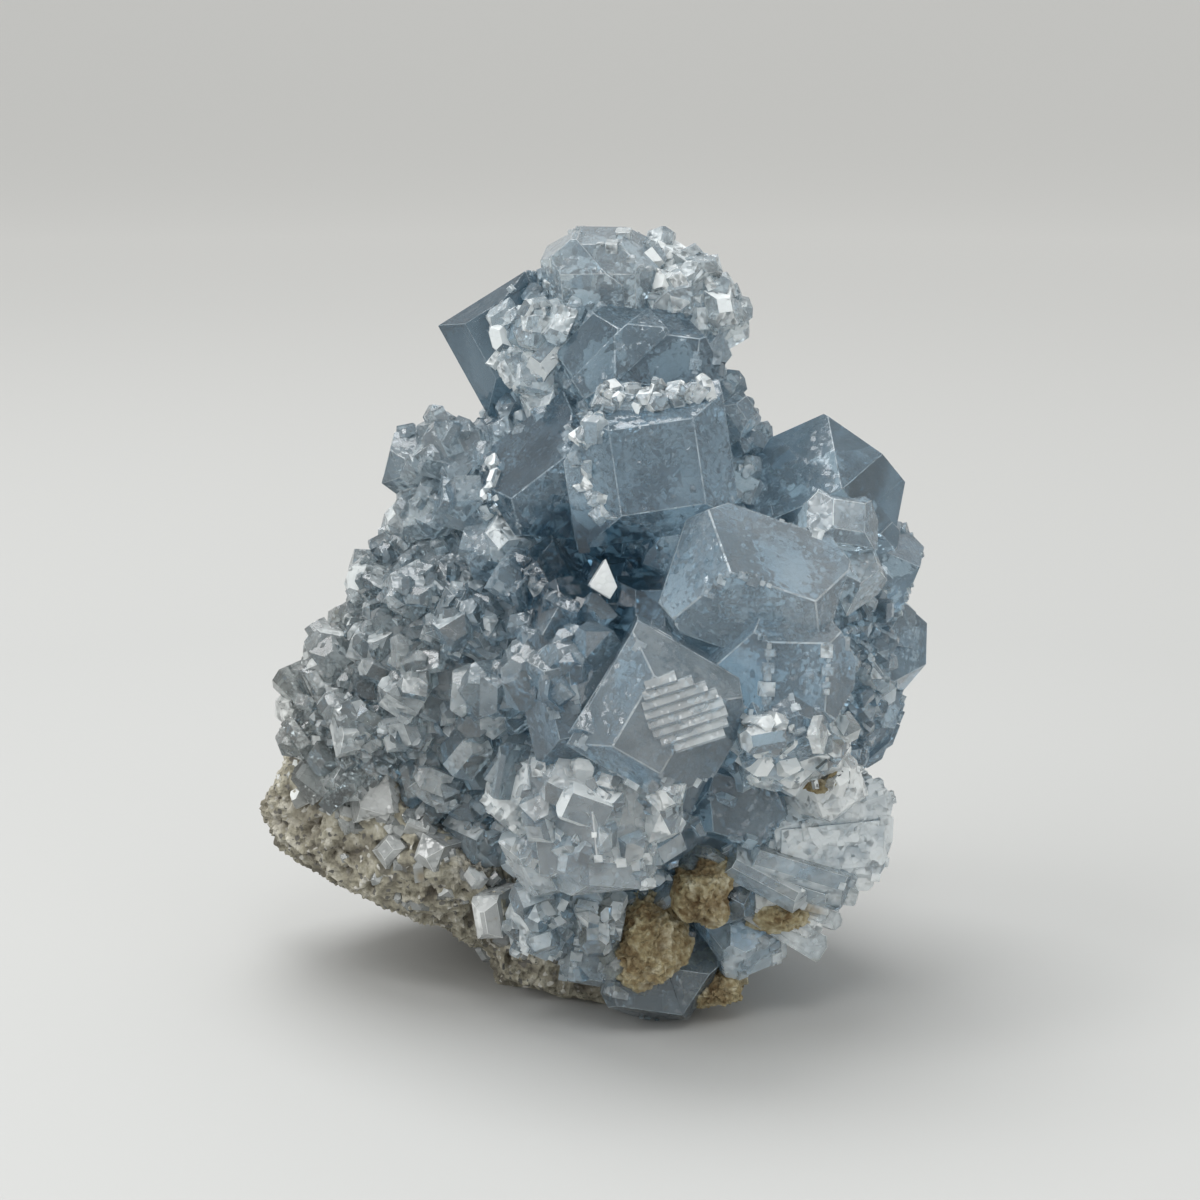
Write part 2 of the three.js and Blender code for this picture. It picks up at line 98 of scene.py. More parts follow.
# The crystals that show most. Each line holds the middle of the head, the way that it grew, its roll,
# width, thickness and long axis, its tone, from 0 for deep blue to 1 for pale, and its frost, from 0 to 1.
# Some also say how many smaller ones are beside it, and the share of its narrow faces (None for the usual).
CROWN = [
    ((0.3, -3.5, 66.8), (-0.05, -0.3, 0.95), 0, 9, 8, "c", 0.8, 0.04),
    ((6, -2, 66.5), (0.3, -0.4, 0.85), 20, 4.6, 4, "c", 0.85, 0.7),
    ((8.8, -2, 64.9), (0.45, -0.4, 0.8), 45, 4.8, 4.2, "b", 0.8, 0.6),
    ((5.4, -5, 63.2), (0.2, -0.8, 0.5), -30, 4.4, 3.6, "a", 0.85, 0.7),
    ((10.6, -1, 61.6), (0.8, -0.45, 0.35), 10, 7, 7, "b", 0.6, 0.3),
    ((10, -3, 57.4), (0.75, -0.6, 0.1), 30, 5, 4.6, "c", 0.5, 0.2),
    ((-8.4, -3.5, 58.6), (-0.25, -0.93, 0.2), 33, 9.2, 9.2, "c", 0.02, 0.03, 0, SHARP),
    ((-5.6, -6, 61), (-0.35, -0.75, 0.55), 15, 4, 3.4, "a", 0.75, 0.5),
    ((-6.3, -7, 56.8), (-0.4, -0.85, 0.2), 60, 4, 3.4, "c", 0.8, 0.6),
    ((-5, -7.5, 53.6), (-0.3, -0.9, 0), 20, 3.6, 3.2, "b", 0.7, 0.5),
    ((4, -9.5, 57.8), (0.08, -0.95, 0.3), -8, 13.8, 10, "c", 0.2, 0.05),
]
HEART = [
    ((4.7, -17.5, 50.6), (0.04, -0.97, 0.2), 8, 13.8, 12.4, "c", 0.34, 0.08),
    ((2.2, -15.8, 55.4), (-0.05, -0.75, 0.65), -10, 5.5, 3, "b", 0.6, 0.3),
    ((7, -15.8, 55.7), (0.1, -0.75, 0.65), 10, 6, 3, "b", 0.6, 0.3),
    ((-4.6, -12.5, 48), (-0.3, -0.9, 0.25), 40, 11, 11.5, "b", 0.15, 0.05),
    ((12.3, -8, 53.2), (0.6, -0.6, 0.5), 20, 3.4, 3.2, "c", 0.4, 0.1),
]
LEFT_SHELF = [
    ((-17.3, -3, 49), (-0.65, -0.5, 0.6), 25, 6, 5, "a", 0.45, 0.15),
    ((-13.5, -6, 50.2), (-0.35, -0.7, 0.65), 70, 5, 6, "b", 0.45, 0.2, 1, None),
    ((-11.5, -10, 45.5), (-0.35, -0.9, 0.2), 80, 4.2, 6.5, "a", 0.4, 0.2),
    ((-16, -6, 44), (-0.6, -0.75, 0.15), 15, 5.5, 5, "c", 0.5, 0.3),
    ((-9, -12, 42.5), (-0.3, -0.9, 0.3), 50, 4, 3.6, "c", 0.7, 0.5),
]
RIGHT_WING = [
    ((23.6, -8, 47.8), (0.86, -0.26, 0.44), 45, 9, 9, "a", 0.44, 0.02, 0, SHARP),
    ((16, -6, 47), (0.3, -0.6, 0.75), 15, 7, 7, "b", 0.2, 0.05),
    ((20.7, -13.5, 45), (0.35, -0.85, 0.4), -12, 6, 5, "c", 0.8, 0.16),
    ((22.3, -12.5, 39.8), (0.5, -0.85, 0.1), 25, 5, 6, "b", 0.9, 0.2),
]
RIGHT_FLANK = [
    ((27, 2, 38), (0.93, -0.25, 0.25), 15, 9, 9, "b", 0.5, 0.1),
    ((28, 3, 30), (0.96, -0.25, 0.05), -20, 8.5, 8, "a", 0.45, 0.1),
    ((26, 4, 22), (0.9, -0.2, -0.35), 30, 8, 8, "c", 0.4, 0.1),
    ((22.5, -7, 31), (0.8, -0.6, 0.05), 45, 7, 7.5, "a", 0.55, 0.2),
]
FRONT = [
    ((13.6, -22.5, 40.9), (0.1, -0.95, 0.28), -20, 14.5, 10.8, "b", 0.62, 0.08),
    ((15.6, -24, 34), (0.22, -0.96, 0.05), -4, 13, 9.5, "c", 0.55, 0.1, 1, None),
    ((5, -27, 31.3), (0, -0.99, 0.1), -30, 11.8, 12.6, "c", 0.58, 0.08),
    ((-2.5, -24, 31.5), (-0.25, -0.95, 0.1), 15, 9, 12, "c", 0.36, 0.08),
    ((-4.1, -21, 36), (-0.35, -0.88, 0.3), 65, 10.5, 7, "b", 0.32, 0.06),
    ((0.4, -14.5, 40), (0.05, -0.9, 0.42), -15, 2.6, 4.6, "c", 0.6, 0.1),
    ((4, -19, 38.3), (0.05, -0.95, 0.3), 0, 5.6, 6.4, "c", 0.35, 0.1),
    ((-5.5, -16, 40.2), (-0.25, -0.9, 0.3), 35, 5, 5, "c", 0.45, 0.25),
    ((7, -16.5, 43.5), (0.1, -0.85, 0.5), -20, 6, 4.5, "b", 0.5, 0.2),
    ((-9.5, -18, 30.5), (-0.45, -0.85, 0.15), 40, 5.5, 5, "c", 0.6, 0.4),
]
FOOT = [
    ((-0.2, -24, 21.5), (-0.05, -0.97, -0.1), 5, 12.5, 10.5, "a", 0.9, 0.3, 1, None),
    ((-6.5, -20, 22), (-0.3, -0.9, -0.1), 50, 7, 6.5, "b", 0.75, 0.5),
    ((-5, -19.5, 16), (-0.2, -0.9, -0.3), 20, 6, 6, "c", 0.7, 0.4),
    ((17, -20, 26.3), (0.35, -0.92, 0.1), -8, 9.5, 6, "b", 1.3, 0.8, 1, None),
    ((20.5, -16, 22), (0.6, -0.78, 0.1), 20, 6, 5, "c", 1.2, 0.8),
    ((11.5, -16, 19), (0.1, -0.85, -0.5), -25, 9, 9, "b", 0.25, 0.1),
    ((13.5, -13, 6.5), (0.45, -0.8, -0.35), 15, 7, 6.5, "c", 0.5, 0.3),
    ((12, -15.5, 11.5), (0.3, -0.9, -0.2), 10, 5, 4.5, "a", 0.3, 0.2),
    ((4.8, -15.5, 2.8), (0.05, -0.9, -0.4), -12, 9.5, 6, "b", 0.3, 0.1),
    ((-0.9, -16.5, 7.8), (-0.1, -0.93, -0.3), 80, 10, 5, "c", 0.55, 0.3),
    ((-5.3, -17, 10), (-0.25, -0.9, -0.3), 65, 7, 5.5, "b", 0.5, 0.35),
]
# Bladed crystals that spread like a fan from the foot's middle to the right
FAN = [
    ((23.6, -8.5, 19.8), (0.9, 0.3, 0.2), 0, 9, 4.2, "b", 0.75, 0.5),
    ((24.2, -8, 16.8), (0.92, 0.3, 0), 4, 9, 4, "c", 0.7, 0.4),
    ((23.3, -9, 14), (0.9, 0.28, -0.18), -3, 9, 4, "b", 0.65, 0.4),
    ((20.4, -11, 12.2), (0.88, 0.25, -0.35), 5, 8, 4, "c", 0.6, 0.35),
    ((17.5, -12.5, 11.8), (0.8, 0.2, -0.5), -4, 7, 3.4, "b", 0.6, 0.3),
]

# The massive celestite that the crystals stand on, as (middle, radii) of rounded lumps
MASS = [
    ((4, 0, 25), (19.5, 18.5, 20.5)),
    ((2, -1, 43), (14, 11.5, 15)),
    ((0.5, -0.5, 57), (9.5, 7, 8)),
    ((17, 0, 31), (8.5, 12.5, 14)),
    ((-11, -1, 30), (11.5, 12.5, 14)),
    ((-19.5, -0.5, 24), (8, 9.5, 8.5)),
]

# The druse of smaller crystals that covers the rest of the mass
DRUSE_SEED, DRUSE_TRIES = 20, 6000
FINEST, COARSEST = 3.2, 10.5
LEFT_END, RIGHT_END = -30, 25
COARSER_BACK = 1 / 60
WIDTHS = (0.85, 1.15)
THICKNESSES = (0.7, 1.05)
LEAN = 0.9
RAISED = 0.35
CROWDING = 0.56
LOWEST = 3
BARE_ABOVE = 46
PLACED_ROOM = 0.75
DRUSE_LEAST, DRUSE_VARIES = 0.8, 0.4
WELL_INSIDE = 0.98
# Its looks, from the right and back to the left
LOOK_SEED = 500
LEFT_FROM, LEFT_OVER = 4, 24
DRUSE_TONES, TONE_SPREAD = (0.42, 0.55), 0.3
DRUSE_FROSTS = (0.12, 0.4)
PATCHY = (0.4, 1.6)  # how uneven small crystals are, in frost and height

# The host rock's breaks, as (outward direction, distance from the middle), and how softly they meet
HOST = [
    ((-15, 0, 14), 9, [
        ((-0.44, -0.1, -0.9), 8.6), ((0.55, 0, 0.83), 3.4), ((-0.5, -0.86, 0), 10.5),
        ((-1, 0.1, 0.1), 17.6), ((-0.4, 0.9, 0.1), 17), ((1, 0, -0.4), 15),
        ((-0.8, 0, 0.6), 15.3), ((0.1, -0.8, -0.6), 11),
    ]),
    ((2, 2, 5), 8, [
        ((0, 0, -1), 6), ((0.2, 0, 1), 6), ((-0.2, -1, 0.1), 11.5), ((1, -0.2, -0.1), 10),
        ((-1, 0, -0.2), 13.5), ((0, 1, 0), 16), ((0.7, 0.7, 0), 13), ((-0.7, 0.7, 0), 13),
    ]),
    ((-8, 13, 20), 9, [
        ((-0.3, 0.95, 0), 8.5), ((0, -1, 0), 8), ((-1, 0.1, 0.2), 16), ((1, 0.3, 0.2), 17),
        ((0.1, 0, 1), 15), ((0, 0.4, -1), 16), ((-0.6, 0.5, 0.6), 14), ((0.5, 0.6, 0.7), 13),
        ((-0.3, 0.6, -0.8), 14), ((-0.5, 0, -0.87), 15),
    ]),
]

# Grey crystals that sit singly in the rock
POCKET_SEED, POCKET_FACES = 9, 900
POCKETS = [
    ((-20.5, -9.6, 19.2), (-0.5, -0.8, 0.2), 20, 4.4, 3.8, "a", 0.8, 0.3),
    ((-18.6, -10.5, 15), (-0.5, -0.8, 0.2), 50, 2.8, 2.4, "c", 0.6, 0.3),
    ((-15.1, -12.3, 15), (-0.5, -0.85, 0.1), -20, 2.4, 2.8, "b", 0.6, 0.3),
    ((-9.8, -15.2, 10), (-0.4, -0.9, 0), 10, 2.4, 4, "c", 0.55, 0.3),
]


def mix(low, high, share):
    return low + (high - low) * share


def random_from(seed):
    """A seeded random number from 0 to 1, the same as the solids' one."""
    state = seed & WORD

    def step():
        nonlocal state
        state = (state + 0x6D2B79F5) & WORD
        t = ((state ^ (state >> 15)) * (1 | state)) & WORD
        t = ((t + (((t ^ (t >> 7)) * (61 | t)) & WORD)) & WORD) ^ t
        return ((t ^ (t >> 14)) & WORD) / 4294967296

    return step


def pick(items, random):
    return items[math.floor(random() * len(items))]


def shaken(amount, random):
    """Three random numbers around zero."""
    return np.array([amount * (random() - 0.5) for _ in range(3)])


def sine_cosine(degrees):
    return math.sin(math.radians(degrees)), math.cos(math.radians(degrees))


def unit(vector):
    vector = np.array(vector, float)
    return vector / np.linalg.norm(vector)


def with_units(faces):
    return [(unit(normal), distance) for normal, distance in faces]


def faces_of(width, thick, long_axis, seed, ornate):
    """One crystal's faces as (normal, distance from the middle of the head). It grew along z."""
    random = random_from(seed)

    def uneven():
        return 1 + FACE_SPREAD * (2 * random() - 1)

    trim = mix(*SIDE_TRIM, random())
    size = {"width": width, "thick": thick}
    side_angle, head, flat = HABITS[long_axis]
    faces = [((side, 0, 0), width / 2 * uneven()) for side in (1, -1)]
    faces += [((0, side, 0), thick / 2 * uneven()) for side in (1, -1)]
    sine, cosine = sine_cosine(side_angle)
    for right, front in ((1, 1), (-1, 1), (-1, -1), (1, -1)):
        distance = (width / 2 * sine + thick / 2 * cosine) * trim * uneven()
        if random() < ornate:
            faces.append(((right * sine, front * cosine, 0), distance))
    for angle, across, height in head:
        slope, rise = sine_cosine(angle)
        for side in (1, -1):
            x, y = (side * slope, 0) if across == "width" else (0, side * slope)
            faces.append(((x, y, rise), height * size[across] * uneven()))
    if flat:
        faces.append(((0, 0, 1), flat * thick * uneven()))
    turn = 2 * math.pi * random()
    lean = mix(*ODD_LEAN, random())
    odd = ODD_FACE * min(width, thick)
    if random() < ornate:
        faces.append(((math.cos(turn) * lean, math.sin(turn) * lean, 1), odd))
    faces.append(((0, 0, -1), BURIED * max(width, thick)))
    return with_units(faces)


def corners_of(faces):
    """The corners of the solid that faces bound: where three of them meet, inside all the others."""
    normals = np.array([normal for normal, _ in faces])
    distances = np.array([distance for _, distance in faces])
    triples = np.array(list(itertools.combinations(range(len(faces)), 3)))
    meeting = normals[triples]
    good = np.abs(np.linalg.det(meeting)) > PARALLEL
    points = np.linalg.solve(meeting[good], distances[triples[good]][..., None])[..., 0]
    points = points[(points @ normals.T <= distances + ON_FACE).all(axis=1)]
    corners = []
    for point in points:
        if all(abs(point - corner).max() > SAME_CORNER for corner in corners):
            corners.append(point)
    return corners


def placed(place, growth, roll):
    """The matrix that turns a crystal's own frame to the way that it grew, and sets it at its place."""
    z = Vector(growth).normalized()
    x = Vector((1, 0, 0)) if abs(z.z) > UPRIGHT else Vector((0, 0, 1)).cross(z).normalized()
    y = z.cross(x)
    turned = Matrix((x, y, z)).transposed().to_4x4()
    return Matrix.Translation(place) @ turned @ Matrix.Rotation(math.radians(roll), 4, "Z")


def lean_of(turns):
    a, b, c = turns
    return Matrix.Rotation(a, 4, "X") @ Matrix.Rotation(b, 4, "Y") @ Matrix.Rotation(c, 4, "Z")


def extras(line):
    """How many smaller crystals have grown beside one, and the share of its narrow faces."""
    return line[8:] or (0, None)


def crystals(line, seed):
    """One crystal with the smaller ones beside it, as (faces, matrix, tone, frost, width)."""
    place, growth, roll, width, thick, long_axis, tone, frost = line[:8]
    beside, share = extras(line)
    random = random_from(seed * 7919 + 13)
    base = placed(place, growth, roll)

    def one(number, scale, lean):
        usual = 0 if width < SMALL or number > 0 else ORNATE
        ornate = usual if share is None else share
        faces = faces_of(width * scale, thick * scale, long_axis, seed * 31 + number, ornate)
        return faces, base @ lean, tone, frost, width * scale

    grown = [one(0, 1, Matrix())]
    for number in range(1, beside + 1):
        angle = 2 * math.pi * random()
        scale = mix(*BESIDE_SIZE, random())
        shift = (BESIDE_REACH * width * math.cos(angle), BESIDE_REACH * thick * math.sin(angle),
                 BESIDE_RISE * thick * random())
        lean = lean_of(shaken(BESIDE_TURN, random))
        grown.append(one(number, scale, Matrix.Translation(shift) @ lean))
    return grown


def inside_rock(point):
    for middle, soft, breaks in HOST:
        offset = point - np.array(middle)
        length = np.linalg.norm(offset)
        shares = [max(0, unit(outward) @ (offset / length)) / reach for outward, reach in breaks]
        nearness = sum(share ** soft for share in shares)
        if length < nearness ** (-1 / soft):
            return True
    return False


def inside_mass(point, lump):
    middle, radii = lump
    return (((point - np.array(middle)) / np.array(radii)) ** 2).sum() < WELL_INSIDE


def point_on_mass(random):
    """A random point on one of the mass's lumps: the lump, the way out from it, and the point."""
    lump = pick(MASS, random)
    middle, radii = np.array(lump[0], float), np.array(lump[1], float)
    tall = 2 * random() - 1
    turn = 2 * math.pi * random()
    flat = math.sqrt(1 - tall * tall)
    on_ball = np.array((flat * math.cos(turn), flat * math.sin(turn), tall))
    return lump, unit(on_ball / radii), on_ball * radii + middle


def inside_other_lumps(point, lump):
    return any(other is not lump and inside_mass(point, other) for other in MASS)


def druse(placed_lines):
    """The lines of the druse's crystals, the same as the solids' ones, with a tone and a frost."""
    random = random_from(DRUSE_SEED)
    taken = [(np.array(line[0], float), PLACED_ROOM * (line[3] + line[4])) for line in placed_lines]
    lines = []
    for _ in range(DRUSE_TRIES):
        lump, out, point = point_on_mass(random)
        growth = out + shaken(LEAN, random)
        along = (point[0] - LEFT_END) / (RIGHT_END - LEFT_END) + max(0, point[1]) * COARSER_BACK
        size = mix(FINEST, COARSEST, min(max(along, 0), 1)) * (DRUSE_LEAST + DRUSE_VARIES * random())
        width = size * mix(*WIDTHS, random())
        thick = size * mix(*THICKNESSES, random())
        roll = 360 * random()
        long_axis = pick("abc", random)
        if inside_other_lumps(point, lump):
            continue
        if inside_rock(point) or point[2] < LOWEST or (point[1] < 0 and point[2] > BARE_ABOVE):
            continue
        if any(np.linalg.norm(place - point) < CROWDING * (other + size) for place, other in taken):
            continue
        taken.append((point, size))
        growth = unit(growth)
        head = point + growth * RAISED * size
        tone, frost = druse_look(head, len(lines))
        lines.append((tuple(head), tuple(growth), roll, width, thick, long_axis, tone, frost, 0, SIMPLE))
    return lines


def druse_look(head, number):
    """The tone and frost of a druse crystal: frosted at the left, clearer to the right and behind."""
    random = random_from(LOOK_SEED + number)
    left = min(max((LEFT_FROM - head[0]) / LEFT_OVER, 0), 1)
    tone = mix(*DRUSE_TONES, left) + TONE_SPREAD * (random() - 0.5)
    frost = mix(*DRUSE_FROSTS, left) * mix(*PATCHY, random())
    return tone, min(frost, 1)


# Fine crystals, as copies of a few small forms
STAMPS, STAMP_SEED = 36, 5200
STAMP_WIDTHS, STAMP_THICKNESSES, STAMP_ORNATE = (0.8, 1.15), (0.45, 1.05), 0.35
STAMP_TONES, STAMP_FROST, STAMP_SKEW = 0.2, 2, 1.5  # how a small crystal's faces differ
FINE_SEED, FINE_TRIES = 77, 9000
FINE_SIZES, FINE_SKEW = (0.9, 2.6), 1.5
FINE_CROWDING = 0.36
FINE_LEAN, FINE_RAISED = 1.2, 0.55
# The fine crystals' tones are kept low, partly as painted shade for the gaps between larger crystals that
# they fill, and vary at random
FINE_SHADED_TONES, FINE_FROSTS = (0.3, 0.65), (0.05, 0.45)

# The faces of a crystal, some of them frosted more, and its edges: bevels, as a share of its width, and
# small blocks along some of them
FACE_SEED = 4000
FACE_TONES, FACE_FROSTS = 0.12, (0.5, 1.5)
MORE_FROST, MORE_SHARE, MORE_FROM = 0.4, 0.8, 0.12
EDGE, EDGE_LEAST, EDGE_PROFILE = 0.006, 0.035, 0.6
EDGE_FROM, EDGE_OVER = 0.7, 0.6
EDGE_TONE, EDGE_FROST = 0.15, 0.25
FLAT_ANGLE = 0.01
BLOCKS_FROM = 6  # the least width of a crystal that has blocks
BLOCK_SEED, BLOCK_STEP = 7300, 0.55
BLOCKED = 0.45  # share of the edges that have blocks
BLOCK_SIZE, BLOCK_SIDES, BLOCK_SUNK = (0.3, 1.1), (0.35, 0.7), 0.42
BLOCK_DEEPEST, BLOCK_BEYOND = 0.7, 0.1  # down the crystal as a share of its width, and past their run
BLOCK_TONE, BLOCK_FROST = 0.25, 0.5
BOX_FACES = [(0, 1, 3, 2), (4, 6, 7, 5), (0, 4, 5, 1), (2, 3, 7, 6), (0, 2, 6, 4), (1, 5, 7, 3)]

# Parallel growth, as forms with some faces moved out and the others in
TERRACES, TERRACE_SEED, TERRACE_TONES = 4, 900, 0.08
PROUD_SHARE, PROUD = 0.4, (0.08, 0.5)
SET_BACK = (0.05, 0.6)
TIPPED = 0.1

# The mass under the crystals
LUMP_SHARE = 0.985
LUMP_TONE, LUMP_FROST = 0.3, 0.3

# Rock, marl and what joins them, in millimetres
CLEARANCE = 0.08  # between the cluster and the rock
CONTACT = 0.03  # between the cluster and the marl, and between a pocket's crystal and the rock
SUNK_CLEARANCE = 0.02  # between the rock and the small crystals sunk in it
MARL_CORE = 0.7  # how far the crystals reach over the marl
MARL_WIDER = 1.12  # the marl reaches on behind the crystals
PLUG = 0.3  # the rock closes in on a pocket's crystal by this much
PLUG_DEEP = 0.9  # and that form is moved into the rock by this much
ROCK_NET, MARL_NET = 0.3, 0.2  # the sides of the faces that their skins are made of
FLAT_SPOT = 0.15  # below this height the rock's skin stays flat
SAME_POINT = 1e-7

# Colours
CELESTITE_IOR = 1.62
ABSORPTION = 30
# The colours of a dark, a middle and a light tone, how clear they are, and the colour of light inside
STOPS = (0.0, 0.45, 1.0)
BLUES = ((0.06, 0.12, 0.17), (0.40, 0.53, 0.62), (0.84, 0.90, 0.92)), 0.85, (0.42, 0.66, 0.80)
GREYS = ((0.10, 0.11, 0.13), (0.38, 0.41, 0.44), (0.7, 0.72, 0.74)), 0.6, (0.5, 0.56, 0.62)
WHITE = (0.89, 0.91, 0.90)
# The left of the cluster is greyer
LEFT_GREYS = (0.09, 0.10, 0.10), (0.42, 0.45, 0.44), (0.74, 0.76, 0.74)
GREY_WIDTH, GREY_HEIGHT, GREY_START, GREY_MOST = 22, 60, 0.35, 0.85
STAIN = (0.42, 0.33, 0.18)
FLOOR, FAR_FLOOR = (0.44, 0.445, 0.44), (0.66, 0.66, 0.65)
# The recess under the heart of the cluster, where a painted shade turns the crystals deep blue and takes
# their frost away, and the rhomb in it, whitened as a painted highlight
RECESS, RECESS_SIZE, RECESS_PAINTED_SHADE = Vector((-0.7, -16, 39.8)), 7.5, 1.4
RHOMB_WIDE, RHOMB_TALL, RHOMB_DEEP = 2.3, 4.5, 2.5
RHOMB_HEAD = (0.3, -18.8, 40.2)
RHOMB_GROWTH = (0.1, -0.96, 0.25)
RHOMB_ROLL = -6
# A tone and a frost so high that the rhomb stays white in the recess: a painted highlight for the glint on
# it
RHOMB_PAINTED_GLINT = (3, 3)  # a tone and a frost that outdo the recess

# The camera and the lights as (place, size, power), in metres and watts
CAMERA_TILT = 12
CAMERA_DISTANCE = 0.26
LENS, SENSOR = 87.15, 36
NEAREST, FARTHEST = 0.01, 20
MIDDLE = Vector((0, 0, 35))
BACK = Vector((0, -sine_cosine(CAMERA_TILT)[1], sine_cosine(CAMERA_TILT)[0]))
EYE = MIDDLE + BACK * CAMERA_DISTANCE / MM
LIGHTS = {
    "overhead": ((-0.1, 0.1, 0.55), 0.4, 2.1),
    "window": ((-0.4, -0.35, 0.35), 0.25, 0.7),
    "lamp": ((-0.25, -0.145, 0.38), 0.12, 0.38),
    "far_lamp": ((0.024, -0.276, 0.39), 0.12, 0.25),
    "fill": ((0.3, -0.33, 0.14), 0.25, 0.22),
}
SKY, SKY_STRENGTH = (0.9, 0.9, 0.88), 0.85
FLOOR_REACH = 20
BOUNCES = 6

# Where small crystals crust over the larger ones: an outline as seen from the front, as (x, z) on the
# upright plane through the middle, how many there are, their sizes, and their tone and frost
CRUSTS = [
    ([(-8.8, 62.7), (-4.5, 64), (-3.5, 59.2), (-4.6, 54.4), (-7.9, 53.5), (-9.2, 57.5)],
     45, (0.8, 2.8), 0.8, 0.6),
    ([(3.5, 68.7), (8.7, 65.8), (12.6, 61.9), (11.7, 57.9), (7.9, 60.1), (5.2, 63.6)],
     40, (1, 3.2), 0.95, 0.55),
    ([(0, 54.1), (4.4, 54.8), (9.5, 54.5), (10.2, 53), (4.4, 52.9), (0.4, 52.3)],
     40, (0.6, 2), 0.8, 0.6),
    ([(-2.6, 46.3), (-0.2, 53.7), (1.1, 53), (-1.1, 46.1), (1.3, 42.5), (0, 42.7)],
     30, (0.5, 1.7), 0.75, 0.6),
    ([(-10.2, 48.1), (-8.9, 48.1), (-9.3, 42.3), (-10.5, 42.3)], 14, (0.7, 2), 0.8, 0.5),
    ([(-18, 51), (-10, 53), (-10, 41.5), (-18, 42)], 22, (1, 3), 0.5, 0.2),
    ([(-23.2, 40.5), (-16, 41.4), (-7.1, 38.6), (-5.4, 31.3), (-7.3, 18.3), (-14.6, 13.6),
      (-24.5, 17.4), (-30, 21.6), (-27, 27.6), (-25.3, 34.1)],
     250, (0.9, 3.4), 0.55, 0.24),
    ([(-7.2, 20.2), (8.2, 18.3), (8.2, 8.8), (0, 6.9), (-7.3, 10.7)], 48, (0.9, 3.8), 0.95, 0.4),
    ([(13.5, 24.1), (23.6, 23.5), (23.7, 18), (13.6, 18)], 45, (0.7, 2.8), 1.2, 1),
    ([(-2.8, 6.7), (1.4, 6.5), (1.4, -3.7), (-2.9, -2.7)], 14, (1, 3), 0.6, 0.35),
    ([(-8.4, 7.4), (-2.8, 7.4), (-2.9, 0.4), (-7.8, 2.1)], 14, (1, 3), 0.6, 0.35),
    ([(-8.5, 35), (0, 35), (0, 25.8), (-7.2, 25.8)], 20, (1, 3.6), 0.3, 0.12),
]
CRUST_SEED = 6100
CRUST_RAISED, CRUST_SKEW, CRUST_LEAN, CRUST_TONES = 0.3, 1.6, 1.3, 0.2
# Small crystals half sunk in the rock's front, in the same form, and more where the druse thins out
SUNK = [
    ([(-31, 20), (-24, 18), (-14, 14), (-8, 8), (-3, 5), (-3, -5), (-10, -2), (-20, 6), (-31, 12)],
     30, (0.5, 2.2), 0.5, 0.3),
    ([(-30, 21.6), (-24.5, 19), (-14.6, 15), (-7, 9), (-8, 6), (-15, 11), (-25, 14), (-31, 18)],
     50, (0.5, 1.8), 0.6, 0.5),
]
SUNK_SEED = 6200
SUNK_RAISED = 0.12

# Thin blades that radiate over the fan
BLADES = 26
BLADE_SEED = 610
BLADE_ROOT = (8.5, -15.2, 14.2)
BLADE_TURN = (-0.62, 0.52)
BLADE_REACH = (11.5, 16.5)
BLADE_BACK, BLADE_SPREAD, BLADE_STAGGER = 0.27, 0.16, 1.1
BLADE_LENGTH = 9.5
BLADE_WIDTHS, BLADE_THICKNESSES, BLADE_POINTED = (1.2, 2.6), (0.5, 1.4), 0.2
BLADE_HEAD = (((0, 0.5, 1), 0.3), ((0, -0.6, 1), 0.25))
BLADE_ROLL, BLADE_ROLLED = 90, 50
BLADE_TONES, BLADE_FROSTS = (0.75, 1.05), (0.25, 0.7)

# The ribs of the striated facet low on the front, bright with painted highlights: where its middle is seen,
# their lengths from the top one down, their section as (share of a step upward, millimetres outward), their
# slope, and the tone and frost of their upper sides, paler and frostier as a painted highlight, and of
# their lower sides, darker as painted shade
RIBS_SEEN = (7.6, 24.9)
RIB_LENGTHS = (2.6, 4.2, 5.4, 6.1, 6.3, 6.2, 5.6, 4.2)
RIB_SHIFTS = (-1.1, -0.7, -0.4, -0.1, 0, 0.1, 0.2, 0.4)
RIB_STEP, RIB_OVERLAP, RIB_SLOPE = 0.78, 1.04, 18
RIB_SECTION = ((0.5, -1.2), (-0.5, -1.2), (-0.52, 0.16), (-0.3, 0.16), (0.5, 0))
RIB_PAINTED_HIGHLIGHT, RIB_PAINTED_SHADE = (1, 0.3), (0.75, 0.1)
RIB_TURNED = 0.05


def ribs(tree):
    """Parallel wedges over a facet, as meshes, each with its upper side turned to the light and painted
    paler as a highlight, its other sides painted darker as shade.
    """
    seen = Vector((RIBS_SEEN[0], 0, RIBS_SEEN[1]))
    middle, out, _, _ = tree.ray_cast(EYE, seen - EYE)
    level = out.cross(Vector((0, 0, 1))).normalized() * -1
    along = Matrix.Rotation(math.radians(RIB_SLOPE), 3, out) @ level
    up = out.cross(along)
    made = []
    for number, (length, shift) in enumerate(zip(RIB_LENGTHS, RIB_SHIFTS)):
        place = middle + up * RIB_STEP * ((len(RIB_LENGTHS) - 1) / 2 - number) + along * shift
        bm = hull(place + along * length * end + up * RIB_STEP * a * RIB_OVERLAP + out * b
                  for end in (-0.5, 0.5) for a, b in RIB_SECTION)
        tones, frosts = look_layers(bm)
        for face in bm.faces:
            # Painted light: upper sides take the highlight's tone and frost, the others the shade's
            face[tones], face[frosts] = RIB_PAINTED_HIGHLIGHT if face.normal.dot(up) > RIB_TURNED else RIB_PAINTED_SHADE
        bmesh.ops.transform(bm, matrix=Matrix.Scale(MM, 4), verts=bm.verts[:])
        made.append(mesh_of(bm, "rib"))
    return made


